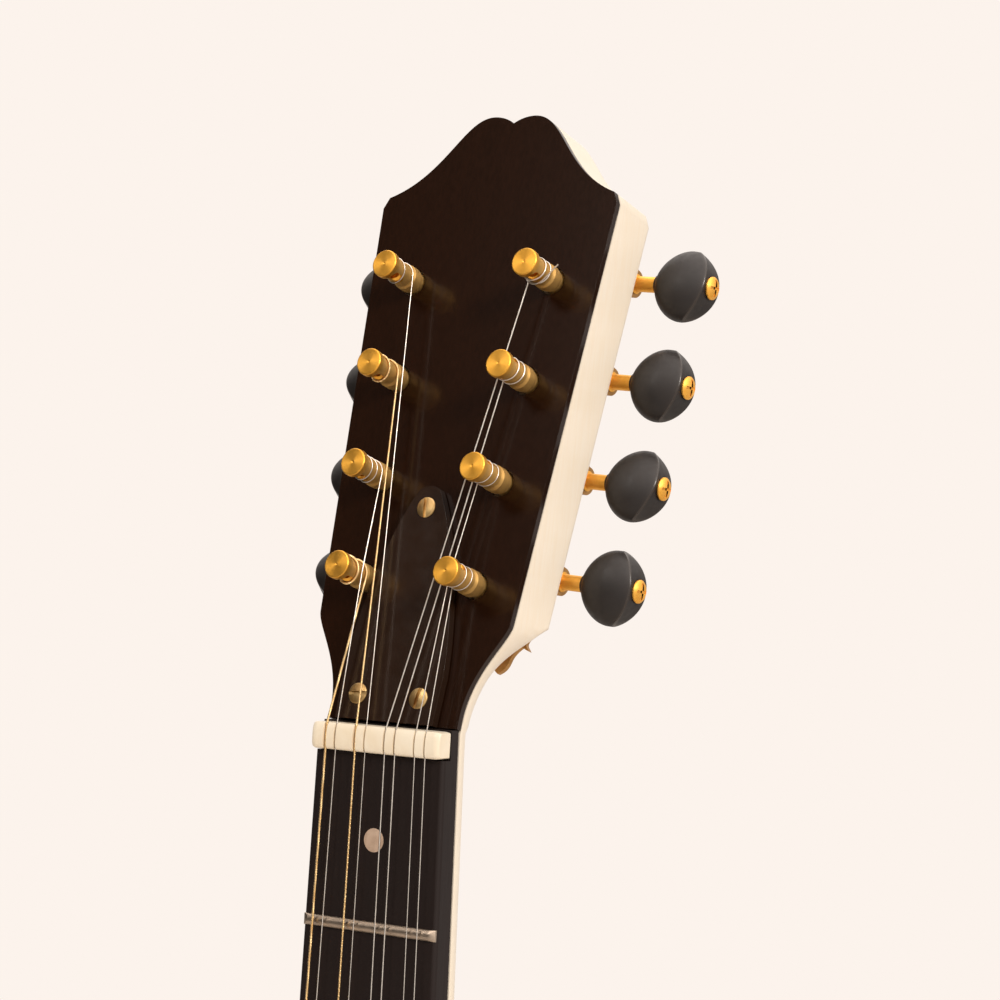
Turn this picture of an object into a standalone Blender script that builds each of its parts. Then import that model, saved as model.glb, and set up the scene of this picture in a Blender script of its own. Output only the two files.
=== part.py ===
# Long-necked lute with four double courses, modelled at its real size.
# World axes: +X is the treble side, +Y runs from the front to the back, +Z runs up the neck.
# The origin is the middle of the nut, at its edge on the fretboard's face.
import math

import bmesh
import bpy
from mathutils import Matrix, Vector

MM = 0.001

# Driving dimensions, in millimetres
FIT = 0.3                       # gap left between pieces that touch

SCALE_LENGTH = 670.0            # nut edge to saddle
FRET_COUNT = 26
BODY_FRET = 14                  # the neck meets the body here

NUT_LENGTH = 34.0
NUT_THICK = 6.2
NUT_RISE = 2.2                  # top of the nut above the fretboard
NUT_SEAT = 2.3                  # the nut stands in a step of the fretboard's end, this deep

BOARD_HALF_AT_NUT = 17.1
BOARD_FLARE = 0.0165            # half width gained per millimetre down the neck
BOARD_THICK = 5.3
BOARD_EDGE = 0.4
BOARD_PAST_LAST_FRET = 7.0
FRET_HEIGHT = 1.0
FRET_WIDTH = 2.6
FRET_CROWN = 1.2
FRET_TANG = 1.6                 # fret below the fretboard's face
FRET_BEVEL = 1.6

NECK_LIP = 0.1                  # neck wider than the fretboard on each side
NECK_DEPTH_AT_NUT = 12.4
NECK_TURN_BACK = 0.9            # the neck's top leans back this far before the fretboard's end
NECK_DEPTH_AT_HEEL = 15.5
HEEL_LENGTH = 62.0
NECK_ROUNDNESS = 1.8            # exponent of the neck's back: 2 is round, less is more like a keel
HEAD_EDGE_ROUND = 2.0           # radius of the head's back edges

HEAD_LEAN_DEG = 14.3
HEAD_START = 5.46               # the head's plane starts this far past the nut's front edge
HEAD_DROP = 4.02                # and this far behind the fretboard's face
HEAD_THICK = 16.4
OVERLAY_THICK = 1.5
HEAD_LENGTH = 144.3
THROAT_START = 3.0              # the head's outline leaves the neck's width here
THROAT_HALF = 25.5
THROAT_RISE = 25.0
SQUARING_START = 13.0           # the neck's round back turns square over this stretch of the head
SQUARING_END = 28.0
SHOULDER_HALF = 31.8
SHOULDER_RISE = 122.3
SHOULDER_ROUND = 1.2
LOBE_HALF = 5.5
LOBE_SWEEP = 8.4                # the lobe runs level this far outside its top
NOTCH_DEPTH = 1.7

POST_ROWS = 4
POST_FIRST_RISE = 33.07
POST_PITCH = 23.63
POST_FIRST_HALF = 14.5
ROW_LEAN_DEG = 3.52             # each row of posts spreads towards the top
POST_HEIGHT = 12.3
POST_RADIUS = 3.0
POST_CAP_RADIUS = 3.2
POST_CAP_THICK = 1.8
POST_WAIST_RADIUS = 2.5
POST_WAIST_LOW = 4.4
POST_HOLE_RADIUS = 0.9
POST_HOLE_RISE = 8.6
POST_HOLE_TURN_DEG = (65.0, 150.0, 20.0, 95.0, 60.0, 120.0, 35.0, 140.0)

PLATE_THICK = 1.2
PLATE_HALF = 8.0
PLATE_END = 10.9                # plate past the lowest post
PLATE_TOP_END = 6.5             # plate past the highest shaft
FINIAL_LENGTH = 5.2
LUG_THICK = 1.2
LUG_REACH = 7.4                 # from a post's axis to the middle of each lug
LUG_HALF = 3.2

GEAR_TEETH = 14
GEAR_PITCH_RADIUS = 5.5
GEAR_THICK = 3.0
TOOTH_UP = 0.45
TOOTH_DOWN = 1.1
TOOTH_TIP_SHARE = 0.12          # half a tooth's tip, as a share of the pitch
WORM_PITCH_RADIUS = 2.3
WORM_CREST = 0.6
WORM_TURNS = 2.5
THREAD_DOWN = 0.8
THREAD_HALF = 0.6
COLLAR_LENGTH = 1.2
SHAFT_RADIUS = 1.8
COLLAR_RADIUS = 2.8
SHAFT_DEPTH = 21.2              # shaft's axis behind the head's face
SHAFT_ROOT_GROW = 0.3           # the worm's core is this much fuller than the thread's own root
SHAFT_PAST_LUG = 1.2
END_SCREW_DOME = 0.9
STUB_RADIUS = 1.8
STUB_SCREW_DOME = 1.2
STUB_SCREW_LIP = 1.0

KNOB_START = 13.9               # from the post's axis, along the shaft
KNOB_LENGTH = 14.0
KNOB_HALF_LONG = 8.45
KNOB_HALF_SHORT = 5.5
KNOB_DOME = 7.7                 # length of the domed side that faces the head
KNOB_END_RADIUS = 9.6           # the far end is a part of a cylinder across the short way
KNOB_RIM_SHARE = 0.64           # half width of that end, as a share of the short half width
KNOB_LONG_POWER = 1.9           # roundness of the dome along the long way
KNOB_SHORT_POWER = 2.3          # and along the short way
KNOB_TURN_DEG = (36.0, 30.0, 32.0, 27.0, 8.0, -8.5, -1.0, -4.0)
KNOB_SCREW_RADIUS = 2.6

COVER_THICK = 2.0
COVER_LENGTH = 53.7
COVER_HALF = 13.3
COVER_SHIFT = -0.8
COVER_START = 0.9

ROD_WIDTH = 6.0
ROD_HEIGHT = 7.0
ROD_BACK = 15.0                 # back of the rod behind the fretboard's face
ROD_NUT_RADIUS = 2.5
ROD_REACH = 14.0                # rod past the nut's edge, before its round nut
ROD_NUT_LENGTH = 10.0
ROD_SHORT_OF_HEEL = 20.0
CHANNEL_PAST_ROD = 10.0

BODY_HALF = 150.0
TAIL_MARGIN = 104.5             # saddle to the end of the body
BOWL_DEPTH = 155.0
BOWL_WALL = 3.0
CORE_TIP = 0.2                  # blunt end of the bowl's inner space, at the tail
STAVES = 15
TOP_THICK = 3.0
BINDING_WIDTH = 2.5
HOLE_HALF_WIDE = 42.0
HOLE_HALF_TALL = 29.0
HOLE_ABOVE_SADDLE = 103.0

BRACE_WIDTH = 8.0
BRACE_HEIGHT = 13.0
UPPER_BRACE_ABOVE_SADDLE = 144.0
LOWER_BRACE_ABOVE_SADDLE = 52.0
NECK_BLOCK_LENGTH = 48.0
NECK_BLOCK_HALF = 30.0
NECK_BLOCK_DEPTH = 36.0
TAIL_BLOCK_LENGTH = 22.0
TAIL_BLOCK_HALF = 34.0
TAIL_BLOCK_DEPTH = 52.0
CUT_MARGIN = 20.0               # cutting boxes reach this far past the bowl

GUARD_THICK = 0.8
GUARD_HALF_WIDE = 64.0
GUARD_HALF_TALL = 42.0
GUARD_DROP = 15.0
GUARD_MARGIN = 6.0

BRIDGE_HALF = 57.0
BRIDGE_TOP_HALF = 33.0
BRIDGE_HEIGHT = 8.2
BRIDGE_FOOT_HEIGHT = 2.6
BRIDGE_WIDTH = 10.0
BRIDGE_FOOT_LENGTH = 22.0
BRIDGE_WING = 9.0               # the top slopes down to the wings over this length
BRIDGE_WING_RISE = 1.2
BRIDGE_ARCH_SLOPE = 3.0
BRIDGE_ARCH_RISE = 1.0
SADDLE_HALF = 29.0
SADDLE_THICK = 2.8
SADDLE_SEAT = 1.6
SADDLE_RISE = 2.8

TAILPIECE_HALF = 23.0
TAILPIECE_SHEET = 1.2
TAILPIECE_REACH = 36.0
TAILPIECE_LEG = 30.0
TAILPIECE_LIFT = 2.8
PIN_RADIUS = 0.9
PIN_RISE = 3.2

BUTTON_BELOW_RIM = 12.0
BUTTON_PIN_RADIUS = 2.5
BUTTON_PIN_LENGTH = 20.0
BUTTON_RADIUS = 7.5
BUTTON_WAIST_RADIUS = 4.5
BUTTON_LENGTH = 12.0

STRING_RISE_AT_NUT = 1.5
COURSE_HALF_SPAN_AT_NUT = 11.9  # middle of the instrument to the middle of an outer course
COURSE_GAP_AT_NUT = 2.7
COURSE_HALF_SPAN_AT_SADDLE = 24.0
COURSE_GAP_AT_SADDLE = 3.0
STRING_DIAMETERS = (0.69, 0.30, 0.58, 0.26, 0.36, 0.36, 0.26, 0.26)
WINDING_TURNS = 2.25
WINDING_TOP = 8.6
WINDING_START = 5.9
WINDING_START_LOWEST = 4.9      # looser on the lowest posts: a neighbour's string passes between the loops
LOOP_POINTS = 12

ROWS_UPPER = 7
ROWS_LOWER = 7
ROUND_STEPS = 12
POST_STEPS = 10
SHAFT_STEPS = 8
KNOB_STEPS = 12
LUG_STEPS = 8

COLORS = {
    "maple": ("#EBD9B8", 0.35, 0.0), "ebony": ("#241A15", 0.25, 0.0), "bone": ("#EFE6D2", 0.3, 0.0),
    "board": ("#1B1614", 0.4, 0.0), "stave": ("#D8B98A", 0.3, 0.0), "spruce": ("#E3C58F", 0.35, 0.0),
    "cedar": ("#C9A472", 0.6, 0.0), "guard": ("#2A1612", 0.2, 0.0), "rosewood": ("#3A2118", 0.4, 0.0),
    "brass": ("#C9982F", 0.25, 1.0), "steel": ("#C8C8CC", 0.3, 1.0), "bronze": ("#B8863B", 0.3, 1.0),
    "knob": ("#1C1A1A", 0.3, 0.0), "cover": ("#17171A", 0.2, 0.0), "nickel": ("#B9B9BC", 0.25, 1.0),
}

# Places worked out from the driving dimensions
LEAN = math.radians(HEAD_LEAN_DEG)
ROW_LEAN = math.radians(ROW_LEAN_DEG)
NECK_TOP = -(BOARD_THICK + FIT)
CORE_TOP = -(OVERLAY_THICK + FIT)
CORE_BACK = -HEAD_THICK
PLATE_TOP = CORE_BACK - FIT
PLATE_BACK = PLATE_TOP - PLATE_THICK
SHAFT_OFFSET = GEAR_PITCH_RADIUS + WORM_PITCH_RADIUS
GEAR_TOP = -SHAFT_DEPTH + GEAR_THICK / 2
GEAR_BACK = -SHAFT_DEPTH - GEAR_THICK / 2
TAIL = -(SCALE_LENGTH + TAIL_MARGIN)
WIDEST = TAIL + BODY_HALF
RIM = NECK_TOP - TOP_THICK - FIT
HOLE_CENTRE = -SCALE_LENGTH + HOLE_ABOVE_SADDLE
BRIDGE_TOP = NECK_TOP + FIT + BRIDGE_HEIGHT


def fret_place(number):
    return -SCALE_LENGTH * (1 - 2 ** (-number / 12))


def board_half(place):
    return BOARD_HALF_AT_NUT - BOARD_FLARE * place


JOINT = fret_place(BODY_FRET)
JOINT_HALF = board_half(JOINT) + NECK_LIP
BOARD_END = fret_place(FRET_COUNT) - BOARD_PAST_LAST_FRET

# Two working planes. Local x is across, local y is up the neck or the head, local z faces the player.
FRONT = Matrix(((1, 0, 0, 0), (0, 0, -1, 0), (0, 1, 0, 0), (0, 0, 0, 1)))
HEAD = (Matrix.Translation(Vector((0, HEAD_DROP, HEAD_START)) * MM)
        @ Matrix.Rotation(-LEAN, 4, "X") @ FRONT)


def scaled_translation(x, y, z):
    return Matrix.Translation(Vector((x, y, z)) * MM)


def tuner_frame(side, row):
    # Local x is across the head, y runs up the row of posts, z faces the player
    half = POST_FIRST_HALF + row * POST_PITCH * math.sin(ROW_LEAN)
    rise = POST_FIRST_RISE + row * POST_PITCH * math.cos(ROW_LEAN)
    return (HEAD @ scaled_translation(side * half, rise, 0)
            @ Matrix.Rotation(-side * ROW_LEAN, 4, "Z"))


def shaft_frame(side, row):
    # Local z points out of the knob, local x up the row of posts
    turn = Matrix(((0, 0, side, 0), (1, 0, 0, 0), (0, side, 0, 0), (0, 0, 0, 1)))
    return tuner_frame(side, row) @ scaled_translation(0, SHAFT_OFFSET, -SHAFT_DEPTH) @ turn


def clear_scene():
    for item in list(bpy.data.objects):
        bpy.data.objects.remove(item, do_unlink=True)
    for item in list(bpy.data.collections):
        bpy.data.collections.remove(item)


clear_scene()
parts = bpy.data.collections.new("greek_bouzouki")
cutters = bpy.data.collections.new("cutters")
bpy.context.scene.collection.children.link(parts)
bpy.context.scene.collection.children.link(cutters)


def make_material(name, finish):
    color, roughness, metallic = COLORS[finish]
    channels = [int(color[i:i + 2], 16) / 255 for i in (1, 3, 5)]
    linear = [c / 12.92 if c <= 0.04045 else ((c + 0.055) / 1.055) ** 2.4 for c in channels]
    material = bpy.data.materials.new(name + "_finish")
    material.use_nodes = True
    shader = material.node_tree.nodes["Principled BSDF"]
    shader.inputs["Base Color"].default_value = (*linear, 1.0)
    shader.inputs["Roughness"].default_value = roughness
    shader.inputs["Metallic"].default_value = metallic
    return material


def add_object(name, data, frame, finish=None):
    # A finish makes a part of the instrument; without one the object only cuts or shapes others
    item = bpy.data.objects.new(name, data)
    item.matrix_world = frame
    if finish:
        parts.objects.link(item)
        data.materials.append(make_material(name, finish))
    else:
        cutters.objects.link(item)
        item.hide_render = True
        item.display_type = "WIRE"
    return item


def add_bmesh(name, shape, frame, finish=None, smooth=False):
    bmesh.ops.remove_doubles(shape, verts=shape.verts, dist=1e-6)
    bmesh.ops.recalc_face_normals(shape, faces=shape.faces)
    mesh = bpy.data.meshes.new(name)
    shape.to_mesh(mesh)
    shape.free()
    if smooth:
        mesh.shade_smooth()
        mesh.set_sharp_from_angle(angle=math.radians(35))
    return add_object(name, mesh, frame, finish)


def loft_into(shape, rings, closed=False, open_ends=False):
    # Rings are lists of equally many points, joined in turn; a closed loft joins the last to the first
    rows = [[shape.verts.new(Vector(point) * MM) for point in ring] for ring in rings]
    pairs = list(zip(rows, rows[1:] + rows[:1])) if closed else list(zip(rows, rows[1:]))
    count = len(rows[0])
    last = count - 1 if open_ends else count
    for first, second in pairs:
        for i in range(last):
            j = (i + 1) % count
            shape.faces.new((first[i], first[j], second[j], second[i]))
    if not closed and not open_ends:
        shape.faces.new(rows[0])
        shape.faces.new(rows[-1])


def loft(name, rings, frame, finish=None, closed=False, open_ends=False, smooth=False):
    shape = bmesh.new()
    loft_into(shape, rings, closed, open_ends)
    return add_bmesh(name, shape, frame, finish, smooth)


def flat(name, loops, low, high, frame, finish=None):
    # A flat outline, with inner loops as holes, from height low to height high
    curve = bpy.data.curves.new(name, "CURVE")
    curve.dimensions = "2D"
    curve.fill_mode = "BOTH"
    curve.extrude = (high - low) / 2 * MM
    for loop in loops:
        spline = curve.splines.new("POLY")
        spline.points.add(len(loop) - 1)
        for point, (x, y) in zip(spline.points, loop):
            point.co = (x * MM, y * MM, 0, 1)
        spline.use_cyclic_u = True
    guide = bpy.data.objects.new(name + "_outline", curve)
    cutters.objects.link(guide)
    graph = bpy.context.evaluated_depsgraph_get()
    mesh = bpy.data.meshes.new_from_object(guide.evaluated_get(graph))
    bpy.data.objects.remove(guide)
    shape = bmesh.new()
    shape.from_mesh(mesh)
    bpy.data.meshes.remove(mesh)
    bmesh.ops.translate(shape, verts=shape.verts, vec=(0, 0, (low + high) / 2 * MM))
    return add_bmesh(name, shape, frame, finish)


def box(name, low, high, frame, finish=None):
    shape = bmesh.new()
    bmesh.ops.create_cube(shape, size=1)
    size = Vector(high) - Vector(low)
    middle = (Vector(high) + Vector(low)) / 2
    bmesh.ops.scale(shape, vec=size * MM, verts=shape.verts)
    bmesh.ops.translate(shape, vec=middle * MM, verts=shape.verts)
    return add_bmesh(name, shape, frame, finish)


def rod_into(shape, radius, low, high, place=(0, 0), sides=ROUND_STEPS):
    made = bmesh.ops.create_cone(shape, cap_ends=True, segments=sides, radius1=radius * MM,
                                 radius2=radius * MM, depth=(high - low) * MM)
    bmesh.ops.translate(shape, verts=made["verts"],
                        vec=Vector((place[0], place[1], (low + high) / 2)) * MM)
    return made["verts"]


def rod(name, radius, low, high, frame, finish=None, sides=ROUND_STEPS):
    shape = bmesh.new()
    rod_into(shape, radius, low, high, sides=sides)
    return add_bmesh(name, shape, frame, finish)


def turned(name, profile, frame, finish, steps=ROUND_STEPS):
    # The profile holds (radius, height) pairs, from the top down the outer side
    mesh = bpy.data.meshes.new(name)
    points = [(radius * MM, 0, height * MM) for radius, height in profile]
    mesh.from_pydata(points, [(i, i + 1) for i in range(len(points) - 1)], [])
    item = add_object(name, mesh, frame, finish)
    screw = item.modifiers.new("turn", "SCREW")
    screw.steps = steps
    screw.render_steps = steps
    screw.use_merge_vertices = True
    screw.merge_threshold = 1e-5
    screw.use_smooth_shade = True
    return item


def combine(item, other, operation):
    boolean = item.modifiers.new(operation.lower() + "_" + other.name, "BOOLEAN")
    boolean.operation = operation
    boolean.solver = "EXACT"
    boolean.object = other
    return item


def bevel(item, width, segments=1, angle=40.0):
    modifier = item.modifiers.new("edge", "BEVEL")
    modifier.width = width * MM
    modifier.segments = segments
    modifier.limit_method = "ANGLE"
    modifier.angle_limit = math.radians(angle)
    return item


def ellipse(half_wide, half_tall, centre=(0, 0), count=28):
    return [(centre[0] + half_wide * math.cos(2 * math.pi * i / count),
             centre[1] + half_tall * math.sin(2 * math.pi * i / count)) for i in range(count)]


def bezier(points, count):
    # Points of a cubic curve, without its last one
    a, b, c, d = (Vector(point) for point in points)
    found = []
    for i in range(count):
        t = i / count
        found.append(tuple(a * (1 - t) ** 3 + b * 3 * t * (1 - t) ** 2
                           + c * 3 * t * t * (1 - t) + d * t ** 3))
    return found


# Head outline: right half, from the nut up, in the head's plane
def head_side():
    start = board_half(0) + NECK_LIP
    throat_gain = THROAT_HALF - start
    points = [(start, (NUT_THICK + FIT - HEAD_START) / math.cos(LEAN))]
    points += bezier(((start, THROAT_START), (start, THROAT_START + (THROAT_RISE - THROAT_START) / 2),
                      (THROAT_HALF - throat_gain * 0.05, THROAT_RISE * 0.84),
                      (THROAT_HALF, THROAT_RISE)), 6)
    shoulder_tip = (SHOULDER_HALF - SHOULDER_ROUND, SHOULDER_RISE + 2.2 * SHOULDER_ROUND)
    points += [(THROAT_HALF, THROAT_RISE), (SHOULDER_HALF, SHOULDER_RISE)]
    sweep = HEAD_LENGTH - shoulder_tip[1]
    points += bezier((shoulder_tip, (shoulder_tip[0] * 0.516, shoulder_tip[1] + sweep * 0.28),
                      (LOBE_HALF + LOBE_SWEEP, HEAD_LENGTH), (LOBE_HALF, HEAD_LENGTH)), 8)
    points.append((LOBE_HALF, HEAD_LENGTH))
    return points


def notch_arc():
    # From a lobe's top down to the middle of the notch
    radius = (LOBE_HALF ** 2 + NOTCH_DEPTH ** 2) / (2 * NOTCH_DEPTH)
    reach = math.asin(LOBE_HALF / radius)
    steps = 3
    return [(LOBE_HALF - radius * math.sin(reach * i / steps),
             HEAD_LENGTH - radius * (1 - math.cos(reach * i / steps))) for i in range(1, steps + 1)]


def mirrored(half):
    # A closed outline from its right half, which may start or end on the middle line
    left = [(-x, y) for x, y in reversed(half) if abs(x) > 1e-9]
    return half + left


# Body outline: right half, from the neck joint down to the tail
def body_rows(inset=0.0):
    rows = []
    length = JOINT - WIDEST
    swell = BODY_HALF - JOINT_HALF
    for i in range(ROWS_UPPER):
        u = i / ROWS_UPPER
        half = JOINT_HALF + swell * math.sin(u * math.pi / 2)
        slope = swell * math.pi / 2 * math.cos(u * math.pi / 2)
        norm = math.hypot(length, slope)
        if i == 0:
            rows.append((half - inset * norm / length, JOINT, inset * norm / length, half))
        else:
            rows.append((half - inset * length / norm, JOINT - u * length - inset * slope / norm,
                         inset, half))
    for i in range(ROWS_LOWER + 1):
        angle = math.pi / 2 * i / ROWS_LOWER
        half = BODY_HALF * math.cos(angle)
        rows.append(((BODY_HALF - inset) * math.cos(angle),
                     WIDEST - (BODY_HALF - inset) * math.sin(angle), inset, half))
    return [(max(x, 0.0) if x > 1e-6 else 0.0, y, loss, half) for x, y, loss, half in rows]


def bowl_ring(half, depth, place, top):
    ring = []
    for i in range(STAVES + 1):
        angle = math.pi * i / STAVES
        ring.append((half * math.cos(angle), place, RIM - depth * math.sin(angle)))
    if top > RIM:
        ring = [(half, place, top)] + ring + [(-half, place, top)]
    return ring


# Neck, with the head's core in one piece
def back_ring(half, place, top, depth, power, count=11):
    ring = []
    for i in range(count):
        angle = math.pi * i / (count - 1)
        c, s = math.cos(angle), math.sin(angle)
        ring.append((half * math.copysign(abs(c) ** (2 / power), c) if abs(c) > 1e-9 else 0.0,
                     place, top - depth * abs(s) ** (2 / power)))
    return ring


def head_ring(half, place, top, depth, share):
    # The neck's section at share 0, and a rectangle with round back edges at share 1
    r = HEAD_EDGE_ROUND
    corner = r * (1 - math.sqrt(0.5))
    right = [(half, 0), (half, depth - r), (half - corner, depth - corner), (half - r, depth),
             ((half - r) / 2, depth), (0.0, depth)]
    square = right + [(-x, y) for x, y in reversed(right[:-1])]
    keel = back_ring(half, place, top, depth, NECK_ROUNDNESS)
    return [(x + (sx - x) * share, y, z + (top - sz - z) * share)
            for (x, y, z), (sx, sz) in zip(keel, square)]


def build_neck():
    heel_depth = -(RIM - BOWL_DEPTH * JOINT_HALF / BODY_HALF) + NECK_TOP
    rings = []

    def add(frame, ring):
        rings.append([FRONT.inverted() @ frame @ (Vector(point) * MM) / MM for point in ring])

    for share in (0.0, 0.15, 0.35, 0.6, 0.8, 1.0):
        place = JOINT + FIT + share * HEEL_LENGTH
        ease = (1 - share) ** 2 * (1 + 2 * share)
        depth = NECK_DEPTH_AT_HEEL + (heel_depth - NECK_DEPTH_AT_HEEL) * ease
        power = NECK_ROUNDNESS + (2.0 - NECK_ROUNDNESS) * ease
        add(FRONT, back_ring(board_half(place) + NECK_LIP, place, NECK_TOP, depth, power))
    heel_start = JOINT + FIT + HEEL_LENGTH
    for share in (0.35, 0.7, 1.0):
        place = heel_start * (1 - share)
        depth = NECK_DEPTH_AT_HEEL + (NECK_DEPTH_AT_NUT - NECK_DEPTH_AT_HEEL) * share
        add(FRONT, back_ring(board_half(place) + NECK_LIP, place, NECK_TOP, depth, NECK_ROUNDNESS))
    step_end = NUT_THICK - NECK_TURN_BACK
    add(FRONT, back_ring(board_half(0) + NECK_LIP, step_end, NECK_TOP, NECK_DEPTH_AT_NUT, NECK_ROUNDNESS))
    core_depth = CORE_TOP - CORE_BACK
    corners = head_side()[1:]
    square_half = THROAT_HALF + (SHOULDER_HALF - THROAT_HALF) * (SQUARING_END - THROAT_RISE) / (
        SHOULDER_RISE - THROAT_RISE)
    corners.insert(corners.index((THROAT_HALF, THROAT_RISE)) + 1, (square_half, SQUARING_END))
    for half, rise in corners:
        share = min(1.0, (rise - THROAT_START) / (THROAT_RISE - THROAT_START))
        depth = NECK_DEPTH_AT_NUT + 0.4 + (core_depth - NECK_DEPTH_AT_NUT - 0.4) * share
        way = (rise - SQUARING_START) / (SQUARING_END - SQUARING_START)
        add(HEAD, head_ring(half, rise, CORE_TOP, depth, max(0.0, min(1.0, way)) ** 2))
    neck = loft("neck", rings, FRONT, "maple", smooth=True)

    notch = [(LOBE_HALF, HEAD_LENGTH + 2)] + [(LOBE_HALF, HEAD_LENGTH)] + notch_arc()
    combine(neck, flat("notch_cut", [mirrored(notch)], CORE_BACK - 2, 5, HEAD), "DIFFERENCE")
    combine(neck, channel_cut, "DIFFERENCE")
    combine(neck, post_cut, "DIFFERENCE")
    return neck


def post_holes():
    shape = bmesh.new()
    for side in (-1, 1):
        for row in range(POST_ROWS):
            verts = rod_into(shape, POST_RADIUS + FIT, PLATE_BACK - 3, 5)
            frame = HEAD.inverted() @ tuner_frame(side, row)
            bmesh.ops.transform(shape, matrix=frame, verts=verts)
    return add_bmesh("post_cut", shape, HEAD)


channel_cut = box("channel_cut", (-ROD_WIDTH / 2 - FIT, JOINT + ROD_SHORT_OF_HEEL - FIT, -ROD_BACK - FIT),
                  (ROD_WIDTH / 2 + FIT, ROD_REACH + ROD_NUT_LENGTH + CHANNEL_PAST_ROD, 10), FRONT)
post_cut = post_holes()


def build_truss_rod():
    shape = bmesh.new()
    bmesh.ops.create_cube(shape, size=1)
    start = JOINT + ROD_SHORT_OF_HEEL
    bmesh.ops.scale(shape, vec=Vector((ROD_WIDTH, ROD_REACH - start, ROD_HEIGHT)) * MM, verts=shape.verts)
    middle = -ROD_BACK + ROD_HEIGHT / 2
    bmesh.ops.translate(shape, vec=Vector((0, (ROD_REACH + start) / 2, middle)) * MM, verts=shape.verts)
    item = add_bmesh("truss_rod", shape, FRONT, "steel")
    turn = FRONT @ scaled_translation(0, 0, middle) @ Matrix.Rotation(-math.pi / 2, 4, "X")
    nut = rod("truss_nut", ROD_NUT_RADIUS, ROD_REACH - 2, ROD_REACH + ROD_NUT_LENGTH, turn, sides=6)
    return combine(item, nut, "UNION")


def build_overlay():
    outline = mirrored(head_side() + notch_arc())
    item = flat("head_overlay", [outline], -OVERLAY_THICK, 0, HEAD, "ebony")
    combine(item, post_cut, "DIFFERENCE")
    return combine(item, channel_cut, "DIFFERENCE")


def build_cover():
    start = (COVER_HALF - 0.3, COVER_START)
    belly = (COVER_HALF, COVER_START + COVER_LENGTH * 0.2)
    tip = COVER_START + COVER_LENGTH
    half = [start]
    half += bezier((belly, (COVER_HALF - 0.4, COVER_LENGTH * 0.465),
                    (COVER_HALF * 0.64, COVER_LENGTH * 0.82), (COVER_HALF * 0.2, tip - 0.8)), 8)
    half += [(COVER_HALF * 0.2, tip - 0.8), (0.0, tip)]
    outline = [(x + COVER_SHIFT, y) for x, y in mirrored(half)]
    return flat("truss_rod_cover", [outline], FIT, FIT + COVER_THICK, HEAD, "cover")


def string_x(index, at_saddle):
    course, second = divmod(index, 2)
    span = COURSE_HALF_SPAN_AT_SADDLE if at_saddle else COURSE_HALF_SPAN_AT_NUT
    gap = COURSE_GAP_AT_SADDLE if at_saddle else COURSE_GAP_AT_NUT
    return -span + course * 2 * span / 3 + (second - 0.5) * gap


def build_nut():
    low = -NUT_SEAT
    depth = NUT_THICK - FIT
    crown = [(0.0, low), (0.0, NUT_RISE - 0.9), (0.5, NUT_RISE - 0.25), (depth * 0.4, NUT_RISE),
             (depth * 0.85, NUT_RISE - 0.1), (depth, NUT_RISE - 0.7), (depth, low)]
    rings = []
    for x in (-NUT_LENGTH / 2, NUT_LENGTH / 2):
        rings.append([(x, y, z) for y, z in crown])
    item = loft("nut", rings, FRONT, "bone")
    bevel(item, 0.7, angle=60)
    shape = bmesh.new()
    for index, diameter in enumerate(STRING_DIAMETERS):
        made = bmesh.ops.create_cube(shape, size=1)["verts"]
        bottom = STRING_RISE_AT_NUT - diameter / 2 - FIT
        bmesh.ops.scale(shape, vec=Vector((diameter + 2 * FIT, 3 * NUT_THICK, 6)) * MM, verts=made)
        bmesh.ops.translate(shape, vec=Vector((string_x(index, False), 0, bottom + 3)) * MM, verts=made)
    return combine(item, add_bmesh("nut_slots", shape, FRONT), "DIFFERENCE")


def build_fretboard():
    corners = [(board_half(0), NUT_THICK), (board_half(BOARD_END), BOARD_END)]
    outline = [(x, y) for x, y in corners] + [(-x, y) for x, y in reversed(corners)]
    item = flat("fretboard", [outline], -BOARD_THICK, 0, FRONT, "board")
    bevel(item, BOARD_EDGE, segments=1)
    step = box("nut_step", (-2 * BOARD_HALF_AT_NUT, -FIT, -NUT_SEAT - FIT),
               (2 * BOARD_HALF_AT_NUT, 2 * NUT_THICK, 2), FRONT)
    combine(item, step, "DIFFERENCE")
    shape = bmesh.new()
    for number in range(1, FRET_COUNT + 1):
        place = fret_place(number)
        half = board_half(place) - 0.2
        rings = []
        for height, reach, wide in ((-FRET_TANG, half, FRET_WIDTH), (FRET_HEIGHT, half - FRET_BEVEL, FRET_CROWN)):
            rings.append([(-reach, place - wide / 2, height), (reach, place - wide / 2, height),
                          (reach, place + wide / 2, height), (-reach, place + wide / 2, height)])
        loft_into(shape, rings)
    return combine(item, add_bmesh("fret_wires", shape, FRONT), "UNION")


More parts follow.
